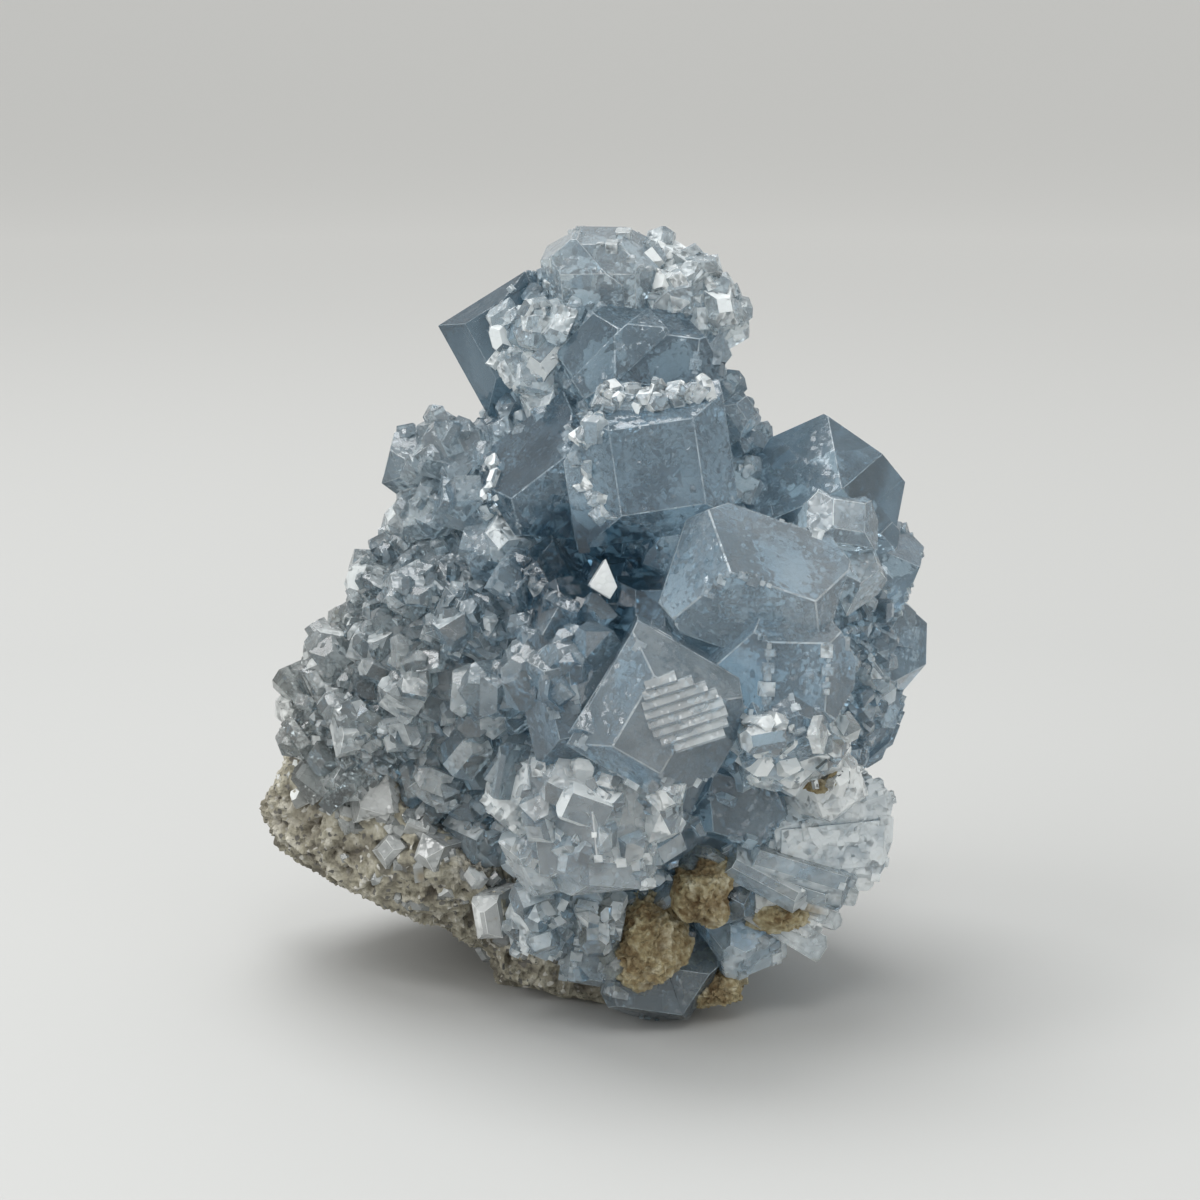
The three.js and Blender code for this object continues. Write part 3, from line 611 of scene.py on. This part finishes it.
def stamps():
    """Small crystals about one unit wide, as (points, faces), that the fine ones are copies of."""
    random = random_from(STAMP_SEED)
    made = []
    for number in range(STAMPS):
        width, thick = mix(*STAMP_WIDTHS, random()), mix(*STAMP_THICKNESSES, random())
        faces = faces_of(width, thick, "abc"[number % 3], STAMP_SEED + number, STAMP_ORNATE)
        bm = hull(corners_of(faces))
        made.append(([vert.co.copy() for vert in bm.verts],
                     [[vert.index for vert in face.verts] for face in bm.faces]))
        bm.free()
    return made


def stamped(stamp, head, growth, roll, size, tone, frost, random):
    """A small crystal's mesh, in metres, as a copy of a stamp."""
    points, faces = stamp
    matrix = Matrix.Scale(MM, 4) @ placed(head, growth, roll) @ Matrix.Scale(size, 4)
    mesh = bpy.data.meshes.new("small")
    mesh.from_pydata([matrix @ point for point in points], [], faces)
    tones = [tone + STAMP_TONES * (random() - 0.5) for _ in faces]
    frosts = [frost * STAMP_FROST * random() ** STAMP_SKEW for _ in faces]
    set_looks(mesh, tones, frosts)
    return mesh


def edge_blocks(faces, matrix, tone, frost, width, seed):
    """Small blocks grown along some of a crystal's edges, turned as the crystal is, as meshes."""
    random = random_from(BLOCK_SEED + seed)
    bm = hull(matrix @ Vector(corner) for corner in corners_of(faces))
    middle = sum((vert.co for vert in bm.verts), Vector()) / max(len(bm.verts), 1)
    turned = matrix.to_3x3()
    head = matrix.translation
    ahead = turned @ Vector((0, 0, 1))
    made = []
    for edge in bm.edges:
        a, b = (vert.co.copy() for vert in edge.verts)
        buried = min((a - head) @ ahead, (b - head) @ ahead) < -BLOCK_DEEPEST * width
        if random() > BLOCKED or buried:
            continue
        steps = int((b - a).length / BLOCK_STEP)
        start, end = sorted((random(), random()))
        for step in range(steps):
            along = (step + random()) / steps
            if not start - BLOCK_BEYOND < along < end + BLOCK_BEYOND:
                continue
            size = mix(*BLOCK_SIZE, random() ** 2)
            place = a.lerp(b, along)
            place += (middle - place).normalized() * BLOCK_SUNK * size
            sides = [[side * size * mix(*BLOCK_SIDES, random()) for side in (-1, 1)] for _ in range(3)]
            corners = [turned @ Vector(corner) + place for corner in itertools.product(*sides)]
            made.append(block(corners, tone + BLOCK_TONE * random(), frost + BLOCK_FROST * random()))
    bm.free()
    return made


def block(corners, tone, frost):
    """A block's mesh in metres, from its eight corners in the order of itertools.product."""
    mesh = bpy.data.meshes.new("block")
    mesh.from_pydata([corner * MM for corner in corners], [], BOX_FACES)
    set_looks(mesh, [tone] * len(BOX_FACES), [frost] * len(BOX_FACES))
    return mesh


def fine_druse(kinds):
    """Fine crystals between the larger ones, all round the cluster, as meshes."""
    random = random_from(FINE_SEED)
    taken = []
    made = []
    for _ in range(FINE_TRIES):
        lump, out, point = point_on_mass(random)
        size = mix(*FINE_SIZES, random() ** FINE_SKEW)
        if inside_other_lumps(point, lump) or point[2] < LOWEST or inside_rock(point):
            continue
        if taken and (np.linalg.norm(np.array([p for p, _ in taken]) - point, axis=1)
                      < FINE_CROWDING * (np.array([q for _, q in taken]) + size)).any():
            continue
        taken.append((point, size))
        growth = unit(out + shaken(FINE_LEAN, random))
        head = point + growth * FINE_RAISED * size
        kind = pick(kinds, random)
        look = (mix(*FINE_SHADED_TONES, random()), mix(*FINE_FROSTS, random()))
        made.append(stamped(kind, head, growth, 360 * random(), size, *look, random))
    return made


def inside_outline(x, z, outline):
    inside = False
    for (x1, z1), (x2, z2) in zip(outline, outline[1:] + outline[:1]):
        if (z1 > z) != (z2 > z) and x < x1 + (x2 - x1) * (z - z1) / (z2 - z1):
            inside = not inside
    return inside


def sight_tree(some_meshes):
    """A tree for finding what a line of sight meets first among meshes."""
    points, faces = [], []
    for mesh in some_meshes:
        faces += [[len(points) + index for index in face.vertices] for face in mesh.polygons]
        points += [vert.co / MM for vert in mesh.vertices]
    return BVHTree.FromPolygons(points, faces)


def crust(tree, kinds, outline, count, sizes, tone, frost, seed, raised=CRUST_RAISED):
    """Small crystals over what is seen from the front inside an outline, as meshes."""
    random = random_from(seed)
    xs, zs = zip(*outline)
    made = []
    while len(made) < count:
        x, z = mix(min(xs), max(xs), random()), mix(min(zs), max(zs), random())
        if not inside_outline(x, z, outline):
            continue
        hit, normal, _, _ = tree.ray_cast(EYE, Vector((x, 0, z)) - EYE)
        if hit is None:
            count -= 1
            continue
        size = mix(*sizes, random() ** CRUST_SKEW)
        growth = unit(np.array(normal) + shaken(CRUST_LEAN, random))
        kind = pick(kinds, random)
        head = np.array(hit) + growth * raised * size * mix(*PATCHY, random())
        look = (tone + CRUST_TONES * (random() - 0.5), frost * mix(*PATCHY, random()))
        made.append(stamped(kind, head, growth, 360 * random(), size, *look, random))
    return made


def blades():
    """Thin bladed crystals that spread like a fan, as forms for crystal_mesh."""
    random = random_from(BLADE_SEED)
    made = []
    for number in range(BLADES):
        turn = mix(*BLADE_TURN, (number + random()) / BLADES)
        direction = unit((math.cos(turn), BLADE_BACK + BLADE_SPREAD * (random() - 0.5), math.sin(turn)))
        head = np.array(BLADE_ROOT) + direction * mix(*BLADE_REACH, random())
        head[1] -= BLADE_STAGGER * random()
        width, thick = mix(*BLADE_WIDTHS, random()), mix(*BLADE_THICKNESSES, random())
        slope, rise = sine_cosine(D_TO_C)
        faces = [((side, 0, 0), width / 2) for side in (1, -1)]
        faces += [((0, side, 0), thick / 2) for side in (1, -1)]
        faces += [((side * slope, 0, rise), width * BLADE_POINTED * (0.5 + random()))
                  for side in (1, -1)]
        faces += [(normal, share * thick) for normal, share in BLADE_HEAD]
        faces.append(((0, 0, -1), BLADE_LENGTH))
        matrix = placed(head, direction, BLADE_ROLL + BLADE_ROLLED * (random() - 0.5))
        look = (mix(*BLADE_TONES, random()), mix(*BLADE_FROSTS, random()))
        made.append((with_units(faces), matrix, *look, width))
    return made


def painted_glint_rhomb():
    """The rhombic end of a small prism in the recess, as a form for crystal_mesh, painted white as a
    highlight where it catches the light.
    """
    wide, tall = RHOMB_WIDE / 2, RHOMB_TALL / 2
    distance = wide * tall / math.hypot(wide, tall)
    faces = [((right * tall, up * wide, 0), distance) for right in (1, -1) for up in (1, -1)]
    faces += [((0, 0, 1), 0), ((0, 0, -1), RHOMB_DEEP)]
    return with_units(faces), placed(RHOMB_HEAD, RHOMB_GROWTH, RHOMB_ROLL), *RHOMB_PAINTED_GLINT, RHOMB_WIDE


def terraces(faces, matrix, tone, frost, width, seed):
    """Parallel growth on a large crystal: smaller forms that stand proud of some of its faces."""
    random = random_from(TERRACE_SEED + seed)
    blocks = []
    for _ in range(TERRACES):
        moved = []
        for normal, distance in faces:
            if random() < PROUD_SHARE:
                distance += mix(*PROUD, random())
            else:
                distance -= width * mix(*SET_BACK, random())
            moved.append((unit(normal + shaken(TIPPED, random)), distance))
        if len(corners_of(moved)) > 3:
            blocks.append((moved, matrix, tone + TERRACE_TONES * (random() - 0.5), frost, width))
    return blocks


def mesh_of(bm, name):
    """A mesh with what a bmesh holds, which is freed."""
    mesh = bpy.data.meshes.new(name)
    bm.to_mesh(mesh)
    bm.free()
    return mesh


def look_layers(bm):
    """The layers of a bmesh that hold each face's tone and frost."""
    return [bm.faces.layers.float.new(name) for name in ("tone", "frost")]


def set_looks(mesh, tones, frosts):
    """Gives each face of a mesh its tone and its frost."""
    for name, values in (("tone", tones), ("frost", frosts)):
        mesh.attributes.new(name, "FLOAT", "FACE").data.foreach_set("value", values)


def hull(corners):
    """The closed convex form around corners, with one face on each side."""
    bm = bmesh.new()
    for corner in corners:
        bm.verts.new(corner)
    bmesh.ops.convex_hull(bm, input=bm.verts[:])
    bmesh.ops.dissolve_limit(bm, angle_limit=FLAT_ANGLE, verts=bm.verts[:], edges=bm.edges[:])
    bm.verts.index_update()
    return bm


def crystal_mesh(faces, matrix, tone, frost, width, seed):
    """One crystal as a closed mesh in metres, with bevelled edges, and a tone and frost on each face."""
    random = random_from(FACE_SEED + seed)
    bm = hull(matrix @ Vector(corner) for corner in corners_of(faces))
    tones, frosts = look_layers(bm)
    for face in bm.faces:
        face[tones] = tone + FACE_TONES * (random() - 0.5)
        usual = frost * mix(*FACE_FROSTS, random())
        more = MORE_FROST if random() < MORE_SHARE * frost - MORE_FROM else 0
        face[frosts] = min(usual + more, max(frost, 1))
    bevel = max(EDGE * width, EDGE_LEAST) * (EDGE_FROM + EDGE_OVER * random())
    middle = sum((vert.co for vert in bm.verts), Vector()) / len(bm.verts)
    farthest = max((vert.co - middle).length for vert in bm.verts)
    plain = bm.copy()
    made = bmesh.ops.bevel(bm, geom=bm.edges[:], offset=bevel, segments=1, profile=EDGE_PROFILE,
                           affect="EDGES", clamp_overlap=True)
    edges = set(made["faces"])
    sound = all(edge.is_manifold for edge in bm.edges)
    if not sound or max((vert.co - middle).length for vert in bm.verts) > farthest:
        bm.free()
        bm, edges = plain, set()
    tones, frosts = bm.faces.layers.float["tone"], bm.faces.layers.float["frost"]
    for face in edges:
        face[tones], face[frosts] = tone + EDGE_TONE, frost + EDGE_FROST
    bmesh.ops.transform(bm, matrix=Matrix.Scale(MM, 4), verts=bm.verts[:])
    return mesh_of(bm, "crystal")


def lump_mesh(lump):
    """A rounded lump of the mass as a closed mesh in metres."""
    middle, radii = lump
    bm = bmesh.new()
    tones, frosts = look_layers(bm)
    bmesh.ops.create_icosphere(bm, subdivisions=3, radius=1)
    for vert in bm.verts:
        scaled = Vector(vert.co[i] * radii[i] * LUMP_SHARE for i in range(3))
        vert.co = (scaled + Vector(middle)) * MM
    for face in bm.faces:
        face[tones], face[frosts] = LUMP_TONE, LUMP_FROST
    return mesh_of(bm, "lump")


def new_object(name, mesh, collection=None):
    obj = bpy.data.objects.new(name, mesh)
    (collection or bpy.context.scene.collection).objects.link(obj)
    return obj


def apply_modifiers(obj):
    depsgraph = bpy.context.evaluated_depsgraph_get()
    mesh = bpy.data.meshes.new_from_object(obj.evaluated_get(depsgraph), depsgraph=depsgraph)
    obj.modifiers.clear()
    obj.data = mesh


def boolean(obj, operation, meshes):
    """Joins meshes to obj, or cuts them from it, in one step."""
    group = bpy.data.collections.new("tools")
    bpy.context.scene.collection.children.link(group)
    tools = [new_object("tool", mesh, group) for mesh in meshes]
    modifier = obj.modifiers.new("boolean", "BOOLEAN")
    modifier.operation = operation
    modifier.operand_type = "COLLECTION"
    modifier.collection = group
    modifier.solver = "MANIFOLD"
    apply_modifiers(obj)
    for tool in tools:
        mesh = tool.data
        bpy.data.objects.remove(tool)
        bpy.data.meshes.remove(mesh)
    bpy.data.collections.remove(group)


def widened(mesh, by):
    """A copy of a mesh, larger by a factor sideways from its middle, with its foot where it was."""
    mesh = mesh.copy()
    middle = sum((vert.co for vert in mesh.vertices), Vector()) / len(mesh.vertices)
    foot = min(vert.co.z for vert in mesh.vertices)
    for vert in mesh.vertices:
        grown = middle + (vert.co - middle) * by
        vert.co = (grown.x, grown.y, max(grown.z, foot))
    return mesh


def keep_largest(obj):
    """Deletes the chips that a cut has left apart from obj's main body."""
    bm = bmesh.new()
    bm.from_mesh(obj.data)
    left = set(bm.verts)
    bodies = []
    while left:
        body = [left.pop()]
        for vert in body:
            joined = {edge.other_vert(vert) for edge in vert.link_edges} & left
            left -= joined
            body += joined
        bodies.append(body)
    bodies.sort(key=len)
    chips = [vert for body in bodies[:-1] for vert in body]
    bmesh.ops.delete(bm, geom=chips, context="VERTS")
    bm.to_mesh(obj.data)
    bm.free()


def grown_copy(mesh, by):
    """A copy of a mesh, larger all round by a distance in millimetres."""
    mesh = mesh.copy()
    bm = bmesh.new()
    bm.from_mesh(mesh)
    bmesh.ops.remove_doubles(bm, verts=bm.verts[:], dist=SAME_POINT)
    bm.normal_update()
    for vert in bm.verts:
        vert.co = vert.co + vert.normal * by * MM
    bm.to_mesh(mesh)
    bm.free()
    return mesh


def pushed_in(mesh, growth):
    """The same mesh, moved into the rock against the way that its crystal grew."""
    mesh.transform(Matrix.Translation(-PLUG_DEEP * MM * Vector(growth).normalized()))
    return mesh


def box_mesh(low, high):
    bm = bmesh.new()
    bmesh.ops.create_cube(bm, size=1)
    for vert in bm.verts:
        vert.co = Vector(mix(low[i], high[i], vert.co[i] + 0.5) for i in range(3))
    return mesh_of(bm, "box")


def remeshed(obj, voxel):
    """Turns obj's mesh into an even net of small faces, voxel millimetres each."""
    modifier = obj.modifiers.new("remesh", "REMESH")
    modifier.mode = "VOXEL"
    modifier.voxel_size = voxel * MM
    apply_modifiers(obj)


def weathered(obj, depth_at):
    """Presses obj's skin inward by depth_at(point) millimetres, and keeps the depth as an attribute."""
    mesh = obj.data
    points = [vert.co.copy() for vert in mesh.vertices]
    normals = [vert.normal.copy() for vert in mesh.vertices]
    depths = [depth_at(point / MM) if point.z > FLAT_SPOT * MM else 0 for point in points]
    worn = [point - normal * depth * MM for point, normal, depth in zip(points, normals, depths)]
    mesh.vertices.foreach_set("co", np.array(worn, dtype=np.float32).ravel())
    mesh.attributes.new("depth", "FLOAT", "POINT").data.foreach_set("value", depths)
    mesh.update()


def paint(obj, material):
    obj.data.materials.clear()
    obj.data.materials.append(material)


def hosted(obj, slot, *nodes):
    """Puts obj in the place of solids, which it hides, and lets it ride on the part's one body. Its slot is
    not used.
    """
    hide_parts(*nodes)
    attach(obj, "root")


class Shading:
    """A material's nodes. Each input is a value or another node's output."""

    def __init__(self, name):
        self.material = bpy.data.materials.new(name)
        self.material.use_nodes = True
        self.tree = self.material.node_tree
        self.tree.nodes.clear()
        self.position = self.add("TexCoord").outputs["Object"]

    def add(self, kind, inputs=(), **settings):
        node = self.tree.nodes.new("ShaderNode" + kind)
        for key, value in settings.items():
            setattr(node, key, value)
        for key, value in dict(inputs).items():
            if isinstance(value, bpy.types.NodeSocket):
                self.tree.links.new(value, node.inputs[key])
            else:
                node.inputs[key].default_value = value
        return node

    def attribute(self, name):
        return self.add("Attribute", attribute_name=name).outputs["Fac"]

    def math(self, operation, a, b=0.0, clamp=False):
        return self.add("Math", {0: a, 1: b}, operation=operation, use_clamp=clamp).outputs[0]

    def vector_math(self, operation, inputs, output=0):
        return self.add("VectorMath", inputs, operation=operation).outputs[output]

    def noise(self, size, detail=2.0, distortion=0.0, squeeze=(1, 1, 1)):
        """Noise over a size in millimetres, from about -1 to 1, drawn out where squeeze is under 1."""
        place = self.vector_math("MULTIPLY", {0: self.position, 1: squeeze})
        inputs = {"Vector": place, "Scale": 1 / (size * MM), "Detail": detail, "Distortion": distortion}
        fac = self.add("TexNoise", inputs).outputs["Fac"]
        return self.math("MULTIPLY", self.math("SUBTRACT", fac, 0.5), 2.0)

    def grains(self, size):
        """A random value from 0 to 1 for each grain of about a size in millimetres."""
        inputs = {"Vector": self.position, "Scale": 1 / (size * MM)}
        return self.add("SeparateColor", {0: self.add("TexVoronoi", inputs).outputs["Color"]}).outputs[0]

    def tilted_grains(self, size):
        """A height that slopes a random way over each grain of a size in millimetres, like facets."""
        cell = self.add("TexVoronoi", {"Vector": self.position, "Scale": 1 / (size * MM)}).outputs
        scaled = self.vector_math("SCALE", {0: self.position, 3: 1 / (size * MM)})
        offset = self.vector_math("SUBTRACT", {0: scaled, 1: cell["Position"]})
        tilt = self.vector_math("SUBTRACT", {0: cell["Color"], 1: (0.5, 0.5, 0.5)})
        return self.vector_math("DOT_PRODUCT", {0: offset, 1: tilt}, "Value")

    def plus(self, *terms):
        """The sum of (value, weight) pairs."""
        total = 0.0
        for value, weight in terms:
            total = self.math("ADD", self.math("MULTIPLY", value, weight), total)
        return total

    def ramp(self, value, *stops):
        node = self.add("ValToRGB", {0: value})
        elements = node.color_ramp.elements
        while len(elements) < len(stops):
            elements.new(1)
        for element, (position, colour) in zip(elements, stops):
            element.position = position
            element.color = (*colour, 1)
        return node.outputs[0]

    def blend(self, share, a, b):
        return self.add("Mix", {0: share, 6: a, 7: b}, data_type="RGBA").outputs[2]

    def bump(self, height, distance):
        """Bumps of a height in millimetres."""
        return self.add("Bump", {"Height": height, "Distance": distance * MM}).outputs[0]

    def finish(self, shader, volume=None):
        output = self.add("OutputMaterial", {"Surface": shader.outputs[0]})
        if volume:
            self.tree.links.new(volume.outputs[0], output.inputs["Volume"])
        return self.material


def celestite_material(name, colours, clear, absorption):
    """Translucent celestite: deep to pale by each face's tone, glassy to white and matt by its frost."""
    s = Shading(name)
    broad = s.noise(9, 0)
    veils = s.noise(2.6, 1, 0, (1, 1, 0.28))
    # Painted shade: the crystals grow darker and less frosted toward the recess under the heart
    away = s.vector_math("DISTANCE", {0: s.position, 1: RECESS * MM}, "Value")
    painted_recess_shade = s.math("SUBTRACT", 1.0, s.math("DIVIDE", away, RECESS_SIZE * MM), clamp=True)
    tone = s.plus((s.attribute("tone"), 1.0), (broad, 0.25), (veils, 0.16), (painted_recess_shade, -RECESS_PAINTED_SHADE))
    patchy = s.plus((s.noise(1.6, 1), 1.0), (1.0, 1.0))
    frost = s.math("SUBTRACT", s.math("MULTIPLY", s.attribute("frost"), patchy), painted_recess_shade, clamp=True)
    body, grey = s.ramp(tone, *zip(STOPS, colours)), s.ramp(tone, *zip(STOPS, LEFT_GREYS))
    across = s.add("SeparateXYZ", {0: s.position}).outputs
    leftward = s.plus((across[0], -1 / (GREY_WIDTH * MM)), (across[2], -1 / (GREY_HEIGHT * MM)),
                      (1.0, GREY_START), (broad, 0.3))
    body = s.blend(s.math("MULTIPLY", leftward, GREY_MOST, clamp=True), body, grey)
    colour = s.blend(s.math("MULTIPLY", frost, 0.6), body, (*WHITE, 1))
    low = s.plus((across[2], -0.12 / MM), (1.0, 3.2))
    stain = s.math("MULTIPLY", s.plus((s.noise(2.4, 2), 3.4), (1.0, -1.1)), 1.0, clamp=True)
    stain = s.math("MULTIPLY", stain, s.math("MULTIPLY", low, 0.5, clamp=True))
    colour = s.blend(stain, colour, (*STAIN, 1))
    height = s.math("MULTIPLY", s.tilted_grains(0.5), frost)
    shader = s.add("BsdfPrincipled", {
        "Base Color": colour,
        "Roughness": s.plus((frost, 0.45), (1.0, 0.07)),
        "IOR": CELESTITE_IOR,
        "Transmission Weight": s.plus((frost, -0.65), (clear, 1.0)),
        "Normal": s.bump(s.plus((height, 0.35), (s.noise(1.8, 1), 0.08)), 0.2),
    })
    volume = s.add("VolumeAbsorption", {"Color": (*absorption, 1), "Density": ABSORPTION})
    return s.finish(shader, volume)


def crumbly(s, colour, grain, size, roughness):
    """Matt, with its grains and a fine noise of a size in millimetres raised."""
    height = s.plus((s.noise(size, 4), 1.0), (grain, 0.6))
    inputs = {"Base Color": colour, "Roughness": roughness, "Normal": s.bump(height, 0.15)}
    return s.finish(s.add("BsdfPrincipled", inputs))


def rock_material():
    """Beige marly rock: pale and dark grains, browner in its pits."""
    s = Shading("host_rock")
    patches = s.plus((s.noise(7, 4), 0.5), (s.noise(1.3, 5), 0.75), (1.0, 0.5))
    body = s.ramp(patches, (0.22, (0.17, 0.16, 0.13)), (0.5, (0.38, 0.36, 0.28)),
                  (0.8, (0.62, 0.60, 0.52)))
    grain = s.grains(0.4)
    colour = s.blend(s.math("GREATER_THAN", grain, 0.93), body, (0.62, 0.61, 0.56, 1))
    colour = s.blend(s.math("LESS_THAN", grain, 0.08), colour, (0.15, 0.15, 0.14, 1))
    pits = s.math("MULTIPLY", s.attribute("depth"), 0.55, clamp=True)
    colour = s.blend(pits, colour, (0.16, 0.14, 0.11, 1))
    return crumbly(s, colour, grain, 0.35, 0.93)


def marl_material():
    """Soft ochre marl, in paler and browner patches, brown in its pits."""
    s = Shading("ochre_marl")
    patches = s.plus((s.noise(3, 4), 0.6), (s.noise(0.7, 5), 0.7), (1.0, 0.5))
    body = s.ramp(patches, (0.2, (0.16, 0.11, 0.05)), (0.5, (0.33, 0.28, 0.16)),
                  (0.85, (0.58, 0.54, 0.40)))
    pits = s.math("MULTIPLY", s.attribute("depth"), 0.6, clamp=True)
    colour = s.blend(pits, body, (0.16, 0.10, 0.05, 1))
    return crumbly(s, colour, s.grains(0.4), 0.3, 0.97)


def floor_material():
    """Matt and pale, and paler farther off, where the lamps reach it less."""
    s = Shading("pale_floor")
    away = s.vector_math("LENGTH", {0: s.position}, "Value")
    colour = s.ramp(away, (0.15, FLOOR), (0.8, FAR_FLOOR))
    return s.finish(s.add("BsdfPrincipled", {"Base Color": colour, "Roughness": 0.7}))


# Rock and marl
def ridge(point, size, place):
    """Rounded knobs with sharp creases between them, from 0 on a knob to 1 in a crease."""
    return 1 - min(1, 2.2 * abs(noise.noise(point / size + place)))


def rock_depth(point):
    """How far the rock's skin is worn in at a point, in millimetres: grains, knobs, hollows and pits."""
    grain = noise.noise(point / 0.5)
    knob = ridge(point, 1.1, Vector((5, 5, 0)))
    hollow = noise.noise(point / 3.2 + Vector((7, 0, 0)))
    pit = max(0, noise.noise(point / 1.3 + Vector((0, 9, 0))) - 0.2)
    depth = max(0, 0.35 + 0.4 * grain + 0.35 * knob * knob + 0.5 * hollow) + min(0.9, 2.4 * pit)
    nearest = min((point - Vector(line[0])).length - 0.5 * line[3] for line in POCKETS)
    return depth * min(max(nearest / 2.5, 0.1), 1)


def marl_depth(point):
    grain = noise.noise(point / 0.4)
    knob = ridge(point, 0.8, Vector((3, 0, 0)))
    hollow = noise.noise(point / 2.8)
    return max(0, 0.3 + 0.35 * grain + 0.3 * knob * knob + 1.1 * hollow)


pockets = [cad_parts[f"pocket_crystal_{number + 1}"].data for number in range(len(POCKETS))]
rock = new_object("host_rock", grown_copy(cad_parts["matrix_rock"].data, 0))
plugs = [pushed_in(grown_copy(mesh, PLUG), line[1]) for mesh, line in zip(pockets, POCKETS)]
boolean(rock, "UNION", plugs)
remeshed(rock, ROCK_NET)
weathered(rock, rock_depth)
boolean(rock, "DIFFERENCE", [grown_copy(mesh, CONTACT) for mesh in pockets])
paint(rock, rock_material())
hosted(rock, "host_rock", "matrix_rock")

ochre = marl_material()
marls = []
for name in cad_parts:
    if name.startswith("ochre_marl"):
        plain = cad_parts[name].data
        marl = new_object(name.replace("ochre_marl", "marl_patch"), widened(plain, MARL_WIDER))
        remeshed(marl, MARL_NET)
        weathered(marl, marl_depth)
        paint(marl, ochre)
        hosted(marl, "ochre_marl", name)
        marls.append(marl)

# Crystals
placed_lines = CROWN + HEART + LEFT_SHELF + RIGHT_WING + RIGHT_FLANK + FRONT + FOOT + FAN
lines = placed_lines + druse(placed_lines)
meshes = []
count = 0
for number, line in enumerate(lines):
    for form in crystals(line, number + 1):
        count += 1
        meshes.append(crystal_mesh(*form, count))
        if form[4] > SMALL:
            for step in terraces(*form, count):
                count += 1
                meshes.append(crystal_mesh(*step, count))
        if number < len(placed_lines) and form[4] > BLOCKS_FROM and extras(line)[1] != SHARP:
            meshes += edge_blocks(*form, count)
for form in [*blades(), painted_glint_rhomb()]:
    count += 1
    meshes.append(crystal_mesh(*form, count))
kinds = stamps()
front = sight_tree(meshes + [obj.data for obj in [rock] + marls])
for number, spread in enumerate(CRUSTS):
    meshes += crust(front, kinds, *spread, CRUST_SEED + number)
meshes += ribs(front)
on_rock = sight_tree([rock.data])
grains = []
for number, spread in enumerate(SUNK):
    grains += crust(on_rock, kinds, *spread, SUNK_SEED + number, SUNK_RAISED)
meshes += fine_druse(kinds)
cluster = new_object("celestite_crystals", lump_mesh(MASS[0]))
boolean(cluster, "UNION", [lump_mesh(lump) for lump in MASS[1:]] + meshes)
cores = [grown_copy(obj.data, -MARL_CORE) for obj in marls]
boolean(cluster, "DIFFERENCE", [grown_copy(mesh, CLEARANCE) for mesh in [rock.data] + pockets] + cores)
boolean(cluster, "INTERSECT", [box_mesh(*CAD_BOX)])
keep_largest(cluster)
for marl in marls:
    boolean(marl, "DIFFERENCE", [grown_copy(cluster.data, CONTACT)])
    keep_largest(marl)
paint(cluster, celestite_material("celestite", *BLUES))
hosted(cluster, "celestite", "crystal_cluster")

sunk = new_object("rock_crystals", grains[0])
boolean(sunk, "UNION", grains[1:])
boolean(sunk, "DIFFERENCE", [grown_copy(obj.data, SUNK_CLEARANCE) for obj in [rock, cluster]])
boolean(sunk, "INTERSECT", [box_mesh(*CAD_BOX)])
grey = celestite_material("grey_celestite", *GREYS)
paint(sunk, grey)
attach(sunk, "root")
for number, line in enumerate(POCKETS):
    mesh = crystal_mesh(*crystals(line, POCKET_SEED)[0], POCKET_FACES + number)
    crystal = new_object(f"grey_crystal_{number + 1}", mesh)
    paint(crystal, grey)
    hosted(crystal, "grey_celestite", f"pocket_crystal_{number + 1}")


# Floor, light and camera
floor_disc = bmesh.new()
bmesh.ops.create_circle(floor_disc, cap_ends=True, segments=64, radius=FLOOR_REACH)
floor = new_object("floor", bpy.data.meshes.new("floor"))
floor_disc.to_mesh(floor.data)
floor.data.materials.append(floor_material())

world = bpy.data.worlds.new("studio")
world.use_nodes = True
sky = world.node_tree.nodes["Background"].inputs
sky["Color"].default_value = (*SKY, 1)
sky["Strength"].default_value = SKY_STRENGTH
bpy.context.scene.world = world


def facing(obj, place, way):
    """Sets obj at its place and turns it to face a way."""
    obj.location = place
    obj.rotation_mode = "QUATERNION"
    obj.rotation_quaternion = way.to_track_quat("-Z", "Y")


for name, (place, size, power) in LIGHTS.items():
    light = bpy.data.lights.new(name, "AREA")
    light.size = size
    light.energy = power
    facing(new_object(name, light), place, MIDDLE * MM - Vector(place))

camera = bpy.data.cameras.new("camera")
camera.sensor_width = SENSOR
camera.lens = LENS
camera.clip_start, camera.clip_end = NEAREST, FARTHEST
eye = new_object("camera", camera)
facing(eye, EYE * MM, -BACK)
scene = bpy.context.scene
scene.camera = eye
scene.view_settings.view_transform = "Standard"
scene.cycles.max_bounces = BOUNCES
scene.cycles.transmission_bounces = BOUNCES
